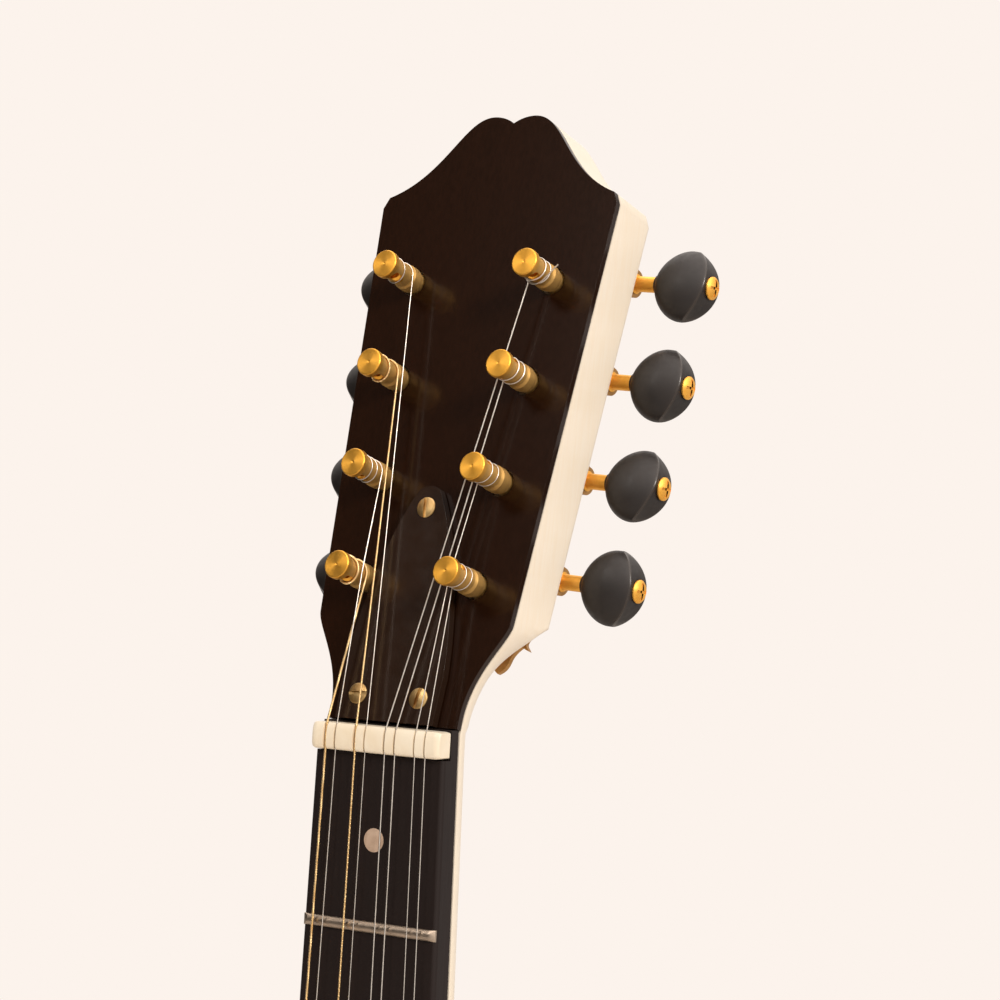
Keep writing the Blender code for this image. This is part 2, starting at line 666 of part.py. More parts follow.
def build_bowl():
    top = RIM + 2.0
    length = JOINT - WIDEST
    slope = (BODY_HALF - JOINT_HALF) * math.pi / 2 / length
    past = 4.0
    first = JOINT_HALF - slope * past
    rings = [bowl_ring(first, BOWL_DEPTH * first / BODY_HALF, JOINT + past, top)]
    for half, place, _, full in body_rows():
        rings.append(bowl_ring(half, BOWL_DEPTH * full / BODY_HALF, place, top))
    item = loft("bowl", rings, FRONT, "stave", open_ends=True)
    if item.data.polygons[0].normal.dot(Vector((rings[0][0][0], 0, 0))) < 0:
        item.data.flip_normals()
    shell = item.modifiers.new("wall", "SOLIDIFY")
    shell.thickness = BOWL_WALL * MM
    shell.offset = -1
    shell.use_even_offset = True
    wide = BODY_HALF + CUT_MARGIN
    high = RIM + CUT_MARGIN
    low = RIM - BOWL_DEPTH - CUT_MARGIN
    past_joint = JOINT + CUT_MARGIN
    combine(item, box("rim_cut", (-wide, TAIL - CUT_MARGIN, RIM), (wide, past_joint, high), FRONT), "DIFFERENCE")
    combine(item, box("joint_cut", (-wide, JOINT, low), (wide, past_joint, high), FRONT), "DIFFERENCE")
    return combine(item, pin_cut, "DIFFERENCE")


def bowl_core():
    # The space inside the bowl, which shapes the blocks and the braces
    inset = BOWL_WALL + FIT
    rings = []
    for half, place, loss, full in body_rows(inset)[:-1]:
        rings.append(bowl_ring(half, BOWL_DEPTH * full / BODY_HALF - loss, place, RIM))
    rings.append(bowl_ring(CORE_TIP, CORE_TIP, TAIL + inset, RIM))
    return loft("bowl_core", rings, FRONT)


def inside_piece(name, low, high, finish):
    item = box(name, low, high, FRONT, finish)
    return combine(item, core, "INTERSECT")


pin_place = RIM - BUTTON_BELOW_RIM
pin_frame = FRONT @ scaled_translation(0, TAIL, pin_place) @ Matrix.Rotation(math.pi / 2, 4, "X")
pin_cut = rod("pin_cut", BUTTON_PIN_RADIUS + FIT, -BUTTON_PIN_LENGTH - 4, 6, pin_frame)
core = bowl_core()


def build_inside():
    inside_piece("neck_block", (-NECK_BLOCK_HALF, JOINT - NECK_BLOCK_LENGTH, RIM - NECK_BLOCK_DEPTH),
                 (NECK_BLOCK_HALF, JOINT + 5, RIM), "cedar")
    tail_block = inside_piece("tail_block", (-TAIL_BLOCK_HALF, TAIL - 5, RIM - TAIL_BLOCK_DEPTH),
                              (TAIL_BLOCK_HALF, TAIL + TAIL_BLOCK_LENGTH, RIM), "cedar")
    combine(tail_block, pin_cut, "DIFFERENCE")
    for name, above in (("brace_upper", UPPER_BRACE_ABOVE_SADDLE), ("brace_lower", LOWER_BRACE_ABOVE_SADDLE)):
        place = -SCALE_LENGTH + above
        inside_piece(name, (-BODY_HALF, place - BRACE_WIDTH / 2, RIM - BRACE_HEIGHT),
                     (BODY_HALF, place + BRACE_WIDTH / 2, RIM), "cedar")


def build_top():
    low, high = NECK_TOP - TOP_THICK, NECK_TOP
    edge = [(x, y) for x, y, _, _ in body_rows(BINDING_WIDTH + FIT)]
    hole = ellipse(HOLE_HALF_WIDE, HOLE_HALF_TALL, (0, HOLE_CENTRE))
    flat("soundboard", [mirrored(edge), hole], low, high, FRONT, "spruce")
    outer = [(x, y) for x, y, _, _ in body_rows()]
    inner = [(x, y) for x, y, _, _ in body_rows(BINDING_WIDTH)]
    strip = outer + [(-x, y) for x, y in reversed(outer[:-1])]
    strip += [(-x, y) for x, y in inner] + list(reversed(inner[:-1]))
    flat("edge_binding", [strip], low, high, FRONT, "ebony")


def build_pickguard():
    low = NECK_TOP + FIT
    centre = (0, HOLE_CENTRE - GUARD_DROP)
    item = flat("pickguard", [ellipse(GUARD_HALF_WIDE, GUARD_HALF_TALL, centre)],
                low, low + GUARD_THICK, FRONT, "guard")
    hole = ellipse(HOLE_HALF_WIDE + GUARD_MARGIN, HOLE_HALF_TALL + GUARD_MARGIN, (0, HOLE_CENTRE))
    return combine(item, flat("guard_cut", [hole], low - 2, low + 4, FRONT), "DIFFERENCE")


def build_bridge():
    low = NECK_TOP + FIT
    foot = low + BRIDGE_FOOT_HEIGHT
    inner = BRIDGE_HALF - BRIDGE_FOOT_LENGTH
    wing = BRIDGE_TOP_HALF + BRIDGE_WING
    right = [(inner, low), (BRIDGE_HALF, low), (BRIDGE_HALF, foot), (wing, foot + BRIDGE_WING_RISE),
             (BRIDGE_TOP_HALF, BRIDGE_TOP)]
    arch = (inner - BRIDGE_ARCH_SLOPE, low + BRIDGE_ARCH_RISE)
    half = right + [(-x, y) for x, y in reversed(right)] + [(-arch[0], arch[1]), arch]
    rings = []
    for y in (-SCALE_LENGTH - BRIDGE_WIDTH / 2, -SCALE_LENGTH + BRIDGE_WIDTH / 2):
        rings.append([(x, y, z) for x, z in half])
    item = loft("bridge", rings, FRONT, "rosewood")
    slot = box("saddle_cut", (-SADDLE_HALF - FIT, -SCALE_LENGTH - SADDLE_THICK / 2 - FIT,
                              BRIDGE_TOP - SADDLE_SEAT - FIT),
               (SADDLE_HALF + FIT, -SCALE_LENGTH + SADDLE_THICK / 2 + FIT, BRIDGE_TOP + 5), FRONT)
    combine(item, slot, "DIFFERENCE")
    saddle = box("saddle", (-SADDLE_HALF, -SCALE_LENGTH - SADDLE_THICK / 2, BRIDGE_TOP - SADDLE_SEAT),
                 (SADDLE_HALF, -SCALE_LENGTH + SADDLE_THICK / 2, BRIDGE_TOP + SADDLE_RISE), FRONT, "bone")
    bevel(saddle, 0.8, segments=2)


# The tailpiece's leg lies along the middle stave's last stretch
def leg_line(depth):
    step = math.pi / 2 / ROWS_LOWER
    rise = BODY_HALF * (1 - math.cos(step))
    fall = BOWL_DEPTH * math.sin(step)
    return TAIL + rise * depth / fall


def strip_outline(path, thickness):
    # Both sides of a bent sheet, seen from its edge
    sides = ([], [])
    for i, point in enumerate(path):
        before = Vector(path[max(i - 1, 0)])
        after = Vector(path[min(i + 1, len(path) - 1)])
        along = (after - before).normalized()
        normal = Vector((-along.y, along.x)) * thickness / 2
        sides[0].append(Vector(point) + normal)
        sides[1].append(Vector(point) - normal)
    return [tuple(p) for p in sides[0] + list(reversed(sides[1]))]


def build_tailpiece():
    out = FIT + TAILPIECE_SHEET / 2 + 0.1
    path = [(leg_line(TAILPIECE_LEG) - out, RIM - TAILPIECE_LEG), (leg_line(0) - out, RIM),
            (TAIL - out + 0.1, NECK_TOP + 0.9), (TAIL - out + 1.4, NECK_TOP + 2.0),
            (TAIL - out + 3.4, NECK_TOP + 2.4),
            (TAIL + TAILPIECE_REACH, NECK_TOP + 2.4 + TAILPIECE_LIFT)]
    outline = strip_outline(path, TAILPIECE_SHEET)
    rings = [[(x, y, z) for y, z in outline] for x in (-TAILPIECE_HALF, TAILPIECE_HALF)]
    item = loft("tailpiece", rings, FRONT, "nickel")
    combine(item, pin_cut, "DIFFERENCE")
    shape = bmesh.new()
    for index in range(len(STRING_DIAMETERS)):
        place = (pin_x(index), PIN_Y)
        rod_into(shape, PIN_RADIUS, PIN_Z - 0.3, PIN_Z + PIN_RISE, place, sides=8)
    return combine(item, add_bmesh("tail_pins", shape, FRONT), "UNION")


PIN_Y = TAIL + TAILPIECE_REACH - 2.0
PIN_Z = NECK_TOP + 2.4 + TAILPIECE_LIFT


def pin_x(index):
    count = len(STRING_DIAMETERS)
    return (index - (count - 1) / 2) * 2 * (TAILPIECE_HALF - 2.5) / (count - 1)


def build_strap_button():
    seat = 1.4 + BUTTON_RADIUS * 0.02
    end = seat + BUTTON_LENGTH
    profile = [(0, end), (BUTTON_RADIUS - 0.6, end), (BUTTON_RADIUS, end - 0.6), (BUTTON_RADIUS, end - 2.6),
               (BUTTON_WAIST_RADIUS, end - 5.0), (BUTTON_WAIST_RADIUS, seat + 2.0),
               (BUTTON_RADIUS - 1.5, seat + 0.6), (BUTTON_RADIUS - 1.5, seat),
               (BUTTON_PIN_RADIUS, seat), (BUTTON_PIN_RADIUS, seat - BUTTON_PIN_LENGTH + 2),
               (0, seat - BUTTON_PIN_LENGTH)]
    return turned("strap_button", profile, pin_frame, "ebony")


# Tuning machines
def gear_outline():
    pitch = 2 * math.pi / GEAR_TEETH
    tip, root = GEAR_PITCH_RADIUS + TOOTH_UP, GEAR_PITCH_RADIUS - TOOTH_DOWN
    points = []
    for tooth in range(GEAR_TEETH):
        middle = math.pi / 2 + (tooth + 0.5) * pitch
        for radius, share in ((root, -0.5), (tip, -TOOTH_TIP_SHARE), (tip, TOOTH_TIP_SHARE)):
            angle = middle + share * pitch
            points.append((radius * math.cos(angle), radius * math.sin(angle)))
    return points


def thread_rings(hand):
    lead = 2 * math.pi * GEAR_PITCH_RADIUS / GEAR_TEETH
    steps = int(WORM_TURNS * SHAFT_STEPS)
    inner = WORM_PITCH_RADIUS - THREAD_DOWN
    outer = WORM_PITCH_RADIUS + WORM_CREST
    rings = []
    for i in range(steps + 1):
        turn = (i / SHAFT_STEPS - WORM_TURNS / 2) * 2 * math.pi
        angle = math.pi + turn
        place = hand * lead * turn / (2 * math.pi)
        c, s = math.cos(angle), math.sin(angle)
        rings.append([(inner * c, inner * s, place - THREAD_HALF), (inner * c, inner * s, place + THREAD_HALF),
                      (outer * c, outer * s, place)])
    return rings


def build_shaft(name, side, row):
    frame = shaft_frame(side, row)
    inner = LUG_REACH - LUG_THICK / 2 - FIT
    start = LUG_REACH + LUG_THICK / 2 + SHAFT_PAST_LUG
    knob_end = KNOB_START + KNOB_LENGTH
    root = WORM_PITCH_RADIUS - THREAD_DOWN + SHAFT_ROOT_GROW
    profile = [(0, knob_end + FIT + END_SCREW_DOME), (KNOB_SCREW_RADIUS, knob_end + FIT), (SHAFT_RADIUS, knob_end + FIT),
               (SHAFT_RADIUS, inner), (COLLAR_RADIUS, inner), (root, inner - COLLAR_LENGTH),
               (root, -inner + COLLAR_LENGTH), (COLLAR_RADIUS, -inner), (SHAFT_RADIUS, -inner),
               (SHAFT_RADIUS, -start), (0, -start)]
    item = turned(name, profile, frame, "brass", steps=SHAFT_STEPS)
    thread = loft(name + "_thread", thread_rings(side), frame)
    return combine(item, thread, "UNION")


def build_knob(name, side, row, turn_deg):
    # Oval rings over the dome, then the rim and the rounded end, and back down the bore
    bore = SHAFT_RADIUS + FIT
    start, end = KNOB_START, KNOB_START + KNOB_LENGTH
    angles = [2 * math.pi * i / KNOB_STEPS for i in range(KNOB_STEPS)]
    turn = math.radians(turn_deg)

    def sunk(x):
        return KNOB_END_RADIUS - math.sqrt(KNOB_END_RADIUS ** 2 - x * x)

    def turned_ring(points):
        return [(x * math.cos(turn) - y * math.sin(turn), x * math.sin(turn) + y * math.cos(turn), z)
                for x, y, z in points]

    rings = [turned_ring([(bore * math.cos(a), bore * math.sin(a), start) for a in angles])]
    for share in (0.02, 0.14, 0.4, 0.7, 1.0):
        long_half = KNOB_HALF_LONG * (1 - (1 - share) ** KNOB_LONG_POWER) ** (1 / KNOB_LONG_POWER)
        short_half = KNOB_HALF_SHORT * (1 - (1 - share) ** KNOB_SHORT_POWER) ** (1 / KNOB_SHORT_POWER)
        long_half, short_half = max(long_half, bore + 0.6), max(short_half, bore + 0.6)
        place = start + share * KNOB_DOME
        rings.append(turned_ring([(long_half * math.cos(a), short_half * math.sin(a), place) for a in angles]))
    for share in (1.0, 0.6):
        points = []
        for a in angles:
            x = KNOB_HALF_LONG * share * math.cos(a)
            y = max(KNOB_HALF_SHORT * KNOB_RIM_SHARE * share, bore + 0.4) * math.sin(a)
            points.append((x, y, end - sunk(x)))
        rings.append(turned_ring(points))
    seat = [(bore * math.cos(a), bore * math.sin(a), end - sunk(bore)) for a in angles]
    rings.append(turned_ring(seat))
    return loft(name, rings, shaft_frame(side, row), "knob", closed=True, smooth=True)


def build_post(name, side, row, hole_turn_deg):
    frame = tuner_frame(side, row)
    cap_low = POST_HEIGHT - POST_CAP_THICK
    shoulder = GEAR_TOP + FIT
    screw = GEAR_BACK - FIT
    profile = [(0, POST_HEIGHT), (POST_CAP_RADIUS - 0.2, POST_HEIGHT), (POST_CAP_RADIUS, POST_HEIGHT - 0.2),
               (POST_CAP_RADIUS, cap_low), (POST_WAIST_RADIUS, cap_low - 0.5), (POST_WAIST_RADIUS, POST_WAIST_LOW + 0.1),
               (POST_RADIUS, POST_WAIST_LOW - 0.3), (POST_RADIUS, shoulder), (STUB_RADIUS, shoulder),
               (STUB_RADIUS, screw), (STUB_RADIUS + STUB_SCREW_LIP, screw), (0, screw - STUB_SCREW_DOME)]
    item = turned(name, profile, frame, "brass", steps=POST_STEPS)
    turn = (frame @ scaled_translation(0, 0, POST_HOLE_RISE)
            @ Matrix.Rotation(math.radians(hole_turn_deg), 4, "Z") @ Matrix.Rotation(math.pi / 2, 4, "Y"))
    hole = rod(name + "_hole", POST_HOLE_RADIUS, -6, 6, turn, sides=8)
    return combine(item, hole, "DIFFERENCE")


def build_gear(name, side, row):
    bore = ellipse(STUB_RADIUS + FIT, STUB_RADIUS + FIT, count=POST_STEPS)
    return flat(name, [gear_outline(), bore], GEAR_BACK, GEAR_TOP, tuner_frame(side, row), "brass")


def build_plate(name, side):
    # The plate's local frame is the lowest post's; its outline follows the row of posts
    frame = tuner_frame(side, 0)
    low = -PLATE_END
    high = (POST_ROWS - 1) * POST_PITCH + SHAFT_OFFSET + PLATE_TOP_END
    half = PLATE_HALF

    def finial(base, way):
        # One end, from the right side to the left one, as a leaf that narrows to a tip
        right = [(half, base - way * 1.0), (half * 0.95, base + way * 0.1), (half * 0.88, base - way * 0.4),
                 (half * 0.64, base + way * 1.2), (half * 0.33, base + way * 3.7)]
        return right + [(0, base + way * FINIAL_LENGTH)] + [(-x, y) for x, y in reversed(right)]

    outline = finial(high, 1) + list(reversed(finial(low, -1)))
    holes = [ellipse(POST_RADIUS + FIT, POST_RADIUS + FIT, (0, row * POST_PITCH), ROUND_STEPS)
             for row in range(POST_ROWS)]
    item = flat(name, [outline] + holes, PLATE_BACK, PLATE_TOP, frame, "brass")
    shape = bmesh.new()
    for row in range(POST_ROWS):
        centre = row * POST_PITCH + SHAFT_OFFSET
        for reach in (-LUG_REACH, LUG_REACH):
            lug_into(shape, side * reach, centre)
    return combine(item, add_bmesh(name + "_lugs", shape, frame), "UNION")


def lug_into(shape, reach, centre):
    # A flat ear with a round end and a bore for the shaft, standing on the plate
    bore = SHAFT_RADIUS + FIT
    outer, inner = [], []
    for i in range(LUG_STEPS):
        angle = 2 * math.pi * (i + 0.5) / LUG_STEPS
        c, s = math.cos(angle), math.sin(angle)
        inner.append((centre + bore * c, -SHAFT_DEPTH + bore * s))
        if s > 0:
            outer.append((centre + LUG_HALF * c / math.cos(math.pi / LUG_STEPS), PLATE_TOP - PLATE_THICK / 2))
        else:
            outer.append((centre + LUG_HALF * c, -SHAFT_DEPTH + LUG_HALF * s))
    faces = (reach - LUG_THICK / 2, reach + LUG_THICK / 2)
    rings = [[(faces[0], y, z) for y, z in inner], [(faces[0], y, z) for y, z in outer],
             [(faces[1], y, z) for y, z in outer], [(faces[1], y, z) for y, z in inner]]
    loft_into(shape, rings, closed=True)


def build_tuners():
    for side, side_name in ((-1, "bass"), (1, "treble")):
        build_plate("tuner_plate_" + side_name, side)
        for row in range(POST_ROWS):
            number = row + 1
            index = row + (POST_ROWS if side > 0 else 0)
            tail = f"_{side_name}_{number}"
            build_shaft("worm_shaft" + tail, side, row)
            build_knob("knob" + tail, side, row, KNOB_TURN_DEG[index])
            build_post("string_post" + tail, side, row, POST_HOLE_TURN_DEG[index])
            build_gear("worm_gear" + tail, side, row)


# Strings
def string_route(index):
    # World points of one string, from its pin to the end of its winding, and where the winding starts
    diameter = STRING_DIAMETERS[index]
    side = -1 if index < POST_ROWS else 1
    row = index if side < 0 else 2 * POST_ROWS - 1 - index
    start_rise = WINDING_START if row else WINDING_START_LOWEST
    radius = POST_WAIST_RADIUS + FIT + diameter / 2
    frame = HEAD.inverted() @ tuner_frame(side, row)
    centre = Vector((frame.translation.x, frame.translation.y)) / MM

    first = [(pin_x(index), PIN_Y + PIN_RADIUS + FIT + diameter / 2, PIN_Z + PIN_RISE - 1.0),
             (string_x(index, True), -SCALE_LENGTH, BRIDGE_TOP + SADDLE_RISE + FIT + diameter / 2),
             (string_x(index, False), 0.0, STRING_RISE_AT_NUT),
             (string_x(index, False), NUT_THICK - FIT, STRING_RISE_AT_NUT)]
    route = [FRONT @ (Vector(point) * MM) for point in first]
    leave = HEAD.inverted() @ route[-1] / MM
    origin = Vector((leave.x, leave.y))
    if row == 1:
        # This string bears against the waist of the post below its own
        below = HEAD.inverted() @ tuner_frame(side, 0)
        passing = POST_WAIST_RADIUS + FIT + diameter / 2
        point = Vector((below.translation.x / MM - side * passing, below.translation.y / MM))
        pitch = (WINDING_TOP - WINDING_START_LOWEST) / WINDING_TURNS
        route.append(HEAD @ (Vector((point.x, point.y, WINDING_START_LOWEST + pitch / 2)) * MM))
        origin = point

    toward = centre - origin
    swing = math.asin(radius / toward.length)
    heading = math.atan2(toward.y, toward.x)
    # The string meets its post on the side that faces the middle of the head
    first_angle = heading + side * (swing + math.pi / 2)
    steps = int(LOOP_POINTS * WINDING_TURNS)
    climb = WINDING_TOP - start_rise
    turns = []
    for i in range(steps + 1):
        angle = first_angle - side * 2 * math.pi * WINDING_TURNS * i / steps
        turns.append(Vector((centre.x + radius * math.cos(angle), centre.y + radius * math.sin(angle),
                             start_rise + climb * i / steps)))
    last = (turns[-1] - turns[-2]).normalized()
    turns.append(turns[-1] + last * diameter)
    wound = [HEAD @ (point * MM) for point in turns]
    return route + wound, len(route)


def least_gap_mm(points, start, diameter, apart):
    # Least distance between stretches of the winding that aren't neighbours, less one diameter
    least = 1000.0
    for i in range(start, len(points)):
        for j in range(i + apart, len(points)):
            least = min(least, (points[i] - points[j]).length / MM - diameter)
    return least


def build_strings():
    for index, diameter in enumerate(STRING_DIAMETERS):
        course, second = divmod(index, 2)
        name = f"string_course_{4 - course}_{'ab'[second]}"
        route, start = string_route(index)
        curve = bpy.data.curves.new(name, "CURVE")
        curve.dimensions = "3D"
        curve.bevel_depth = diameter / 2 * MM
        curve.bevel_resolution = 1
        curve.use_fill_caps = True
        spline = curve.splines.new("POLY")
        spline.points.add(len(route) - 1)
        for point, place in zip(spline.points, route):
            point.co = (*place, 1)
        wound = diameter > 0.5
        add_object(name, curve, Matrix.Identity(4), "bronze" if wound else "steel")
        gap = least_gap_mm(route, start, diameter, LOOP_POINTS // 2)
        print(f"{name}: least gap of its winding to itself {gap:.2f} mm")


build_neck()
build_truss_rod()
build_overlay()
build_cover()
build_nut()
build_fretboard()
build_bowl()
build_inside()
build_top()
build_pickguard()
build_bridge()
build_tailpiece()
build_strap_button()
build_tuners()
build_strings()
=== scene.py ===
import math

import bmesh
import bpy
from mathutils import Matrix, Vector


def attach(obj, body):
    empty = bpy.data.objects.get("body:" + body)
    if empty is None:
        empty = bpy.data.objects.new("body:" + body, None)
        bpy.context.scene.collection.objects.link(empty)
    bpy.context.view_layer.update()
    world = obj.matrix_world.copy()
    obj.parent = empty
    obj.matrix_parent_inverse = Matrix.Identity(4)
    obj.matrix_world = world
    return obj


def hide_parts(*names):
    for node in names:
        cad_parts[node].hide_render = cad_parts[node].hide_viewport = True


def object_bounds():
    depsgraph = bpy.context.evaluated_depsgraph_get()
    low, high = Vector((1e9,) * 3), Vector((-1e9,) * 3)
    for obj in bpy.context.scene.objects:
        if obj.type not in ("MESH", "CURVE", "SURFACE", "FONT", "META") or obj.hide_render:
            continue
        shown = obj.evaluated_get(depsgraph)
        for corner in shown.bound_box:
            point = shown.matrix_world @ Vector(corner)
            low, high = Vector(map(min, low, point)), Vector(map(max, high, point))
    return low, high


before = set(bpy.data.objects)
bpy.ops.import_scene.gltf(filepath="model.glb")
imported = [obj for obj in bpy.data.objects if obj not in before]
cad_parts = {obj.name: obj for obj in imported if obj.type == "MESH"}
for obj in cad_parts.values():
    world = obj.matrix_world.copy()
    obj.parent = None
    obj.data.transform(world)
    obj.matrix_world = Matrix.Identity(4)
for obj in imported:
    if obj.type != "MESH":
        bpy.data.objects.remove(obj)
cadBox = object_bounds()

# Long-necked lute with four double courses. World x is the treble side, y runs back, z runs up the neck.
# Sizes below are millimetres in three working planes; their local x is across, y is up, z faces the player.
mm = 0.001
fit = 0.3                                   # gap between pieces that touch
through = 20.0                              # cutting shapes reach this far past what they cut
unmoved = Matrix.Identity(4)
frontPlane = Matrix(((1, 0, 0, 0), (0, 0, -1, 0), (0, 1, 0, 0), (0, 0, 0, 1)))
headPlace = {"leanDeg": 14.3, "start": 5.46, "drop": 4.02}
tuners = {"rows": 4, "firstRise": 33.07, "pitch": 23.63, "firstHalf": 14.5, "rowLeanDeg": 3.52,
          "shaftOffset": 7.8, "shaftDepth": 21.2, "bore": 3.3}
sides = ((-1, "bass"), (1, "treble"))
machines = [(side, row, f"{label}_{row + 1}") for side, label in sides for row in range(tuners["rows"])]


def moved(x, y, z):
    return Matrix.Translation(Vector((x, y, z)) * mm)


def spun(angleDeg, axis="Z"):
    return Matrix.Rotation(math.radians(angleDeg), 4, axis)


headPlane = moved(0, headPlace["drop"], headPlace["start"]) @ spun(-headPlace["leanDeg"], "X") @ frontPlane


def tunerPlane(side, row):
    lean = math.radians(tuners["rowLeanDeg"])
    half = tuners["firstHalf"] + row * tuners["pitch"] * math.sin(lean)
    rise = tuners["firstRise"] + row * tuners["pitch"] * math.cos(lean)
    return headPlane @ moved(side * half, rise, 0) @ spun(-side * tuners["rowLeanDeg"])


def shaftPlane(side, row):
    # local z points out of the knob, local x up the row of posts
    turn = Matrix(((0, 0, side, 0), (1, 0, 0, 0), (0, side, 0, 0), (0, 0, 0, 1)))
    return tunerPlane(side, row) @ moved(0, tuners["shaftOffset"], -tuners["shaftDepth"]) @ turn


def placed(plane, points):
    # points in a working plane, as points in the world
    return [plane @ (Vector(point) * mm) for point in points]


def onHead(place):
    # a point in the world, seen square to the head's face
    return (headPlane.inverted() @ place / mm).to_2d()


def postSpot(side, row):
    return onHead(tunerPlane(side, row).translation)


# small helpers for nodes, meshes and finished pieces
def feed(item, inputs):
    # each of a node's inputs is a value, or the socket or node that feeds it
    for key, value in dict(inputs).items():
        if isinstance(value, bpy.types.Node):
            value = value.outputs[0]
        if isinstance(value, bpy.types.NodeSocket):
            item.id_data.links.new(value, item.inputs[key])
        else:
            item.inputs[key].default_value = value


def addNode(tree, kind, inputs=(), **settings):
    item = tree.nodes.new(kind)
    for key, value in settings.items():
        setattr(item, key, value)
    feed(item, inputs)
    return item


def linear(code):
    # sRGB hex colour as linear RGBA
    parts = [int(code[i:i + 2], 16) / 255 for i in (1, 3, 5)]
    return (*[c / 12.92 if c <= 0.04045 else ((c + 0.055) / 1.055) ** 2.4 for c in parts], 1.0)


def linked(name, data, plane=unmoved):
    item = bpy.data.objects.new(name, data)
    bpy.context.scene.collection.objects.link(item)
    item.matrix_world = plane
    return item


def addMesh(name, verts, faces, plane=unmoved):
    mesh = bpy.data.meshes.new(name)
    mesh.from_pydata([tuple(Vector(v) * mm) for v in verts], [], faces)
    return linked(name, mesh, plane)


def addCurve(name, lines, closed=False):
    # straight stretches through lists of points in metres
    curve = bpy.data.curves.new(name, "CURVE")
    curve.dimensions = "2D" if closed else "3D"
    for line in lines:
        spline = curve.splines.new("POLY")
        spline.points.add(len(line) - 1)
        for point, place in zip(spline.points, line):
            point.co = (*place, 1)
        spline.use_cyclic_u = closed
    return linked(name, curve)


def store(item, name, kind, values):
    # one value or vector at each point, for the finishes and node trees to read
    data = item.data.attributes.new(name, kind, "POINT").data
    data.foreach_set("value" if kind == "FLOAT" else "vector", values)


def cleaned(item, nearest=2e-6):
    shape = bmesh.new()
    shape.from_mesh(item.data)
    bmesh.ops.remove_doubles(shape, verts=shape.verts, dist=nearest)
    bmesh.ops.dissolve_degenerate(shape, dist=1e-7, edges=shape.edges)
    bmesh.ops.recalc_face_normals(shape, faces=shape.faces)
    shape.to_mesh(item.data)
    shape.free()
    return item


def loft(name, rings, plane=unmoved, loop=False, marks=()):
    # rings of equally many points, joined in turn; a loop joins the last ring to the first; marks are
    # attributes of the points, each with its kind and values
    count, total, faces = len(rings[0]), len(rings), []
    for a in range(total if loop else total - 1):
        b = (a + 1) % total
        for i in range(count):
            j = (i + 1) % count
            faces.append((a * count + i, a * count + j, b * count + j, b * count + i))
    if not loop:
        faces += [tuple(range(count)), tuple(range((total - 1) * count, total * count))]
    item = addMesh(name, [point for ring in rings for point in ring], faces, plane)
    for mark in marks:
        store(item, *mark)
    return cleaned(item)


def arc(wide, tall, centre=(0, 0), steps=24, firstDeg=0, lastDeg=180):
    # points of an arc of an ellipse, with both of its ends
    angles = [math.radians(firstDeg + (lastDeg - firstDeg) * i / steps) for i in range(steps + 1)]
    return [(centre[0] + wide * math.cos(a), centre[1] + tall * math.sin(a)) for a in angles]


def ellipse(wide, tall, centre=(0, 0), count=48):
    return arc(wide, tall, centre, count, 0, 360)[:-1]


def outlined(start, *parts):
    # points from a start; each part is a corner, or a curve's two handles, end and number of steps
    points = [start]
    for part in parts:
        if len(part) == 2:
            points.append(part)
            continue
        first, (second, third, end, steps) = points[-1], part
        for i in range(1, steps + 1):
            t, s = i / steps, 1 - i / steps
            points.append(tuple(p * s ** 3 + q * 3 * t * s * s + r * 3 * t * t * s + u * t ** 3
                                for p, q, r, u in zip(first, second, third, end)))
    return points


def mirrored(points):
    return points + [(-x, y) for x, y in reversed(points) if abs(x) > 1e-9]


def lathe(name, profile, plane=unmoved, steps=48):
    # (radius, height) pairs from the top of the axis down the outer side and back to the axis;
    # "turned" holds the way along the profile and "across" its direction, square to the tool marks
    circle, turn = ellipse(1, 1, count=steps), plane.to_3x3()
    rings, ways, across, way = [], [], [], 0.0
    for i, (radius, height) in enumerate(profile):
        before, after = profile[max(i - 1, 0)], profile[min(i + 1, len(profile) - 1)]
        way += math.dist(before, (radius, height)) * mm
        out, up = after[0] - before[0], after[1] - before[1]
        rings.append([(radius * c, radius * s, height) for c, s in circle])
        ways += [way] * steps
        for c, s in circle:
            across.extend(turn @ Vector((out * c, out * s, up)).normalized())
    return loft(name, rings, plane, marks=(("turned", "FLOAT", ways), ("across", "FLOAT_VECTOR", across)))


def plate(name, loops, low, high, plane):
    # a flat outline, with inner loops as holes, from height low to height high
    guide = addCurve(name, [[(x * mm, y * mm, 0) for x, y in loop] for loop in loops], closed=True)
    guide.data.fill_mode, guide.data.extrude = "BOTH", (high - low) / 2 * mm
    mesh = bpy.data.meshes.new_from_object(guide.evaluated_get(bpy.context.evaluated_depsgraph_get()))
    bpy.data.objects.remove(guide)
    mesh.transform(moved(0, 0, (low + high) / 2))
    return cleaned(linked(name, mesh, plane))


def block(name, low, high, plane):
    (a, b, c), (d, e, f) = low, high
    corners = [(a, b), (d, b), (d, e), (a, e)]
    return loft(name, [[(x, y, z) for x, y in corners] for z in (c, f)], plane)


def settled(item):
    # live modifiers, curves and Geometry Nodes become a plain mesh with its place in it
    bpy.context.view_layer.update()
    mesh = bpy.data.meshes.new_from_object(item.evaluated_get(bpy.context.evaluated_depsgraph_get()))
    mesh.transform(item.matrix_world)
    name = item.name
    bpy.data.objects.remove(item)
    return linked(name, mesh)


def bevelled(item, width, segments=2, angleDeg=35):
    edge = item.modifiers.new("edge", "BEVEL")
    edge.width, edge.segments, edge.limit_method = width * mm, segments, "ANGLE"
    edge.angle_limit = math.radians(angleDeg)
    return settled(item)


def cutBy(item, others):
    for other in others:
        cut = item.modifiers.new("cut", "BOOLEAN")
        cut.operation, cut.solver, cut.object = "DIFFERENCE", "EXACT", other
    made = settled(item)
    for other in others:
        bpy.data.objects.remove(other)
    return made


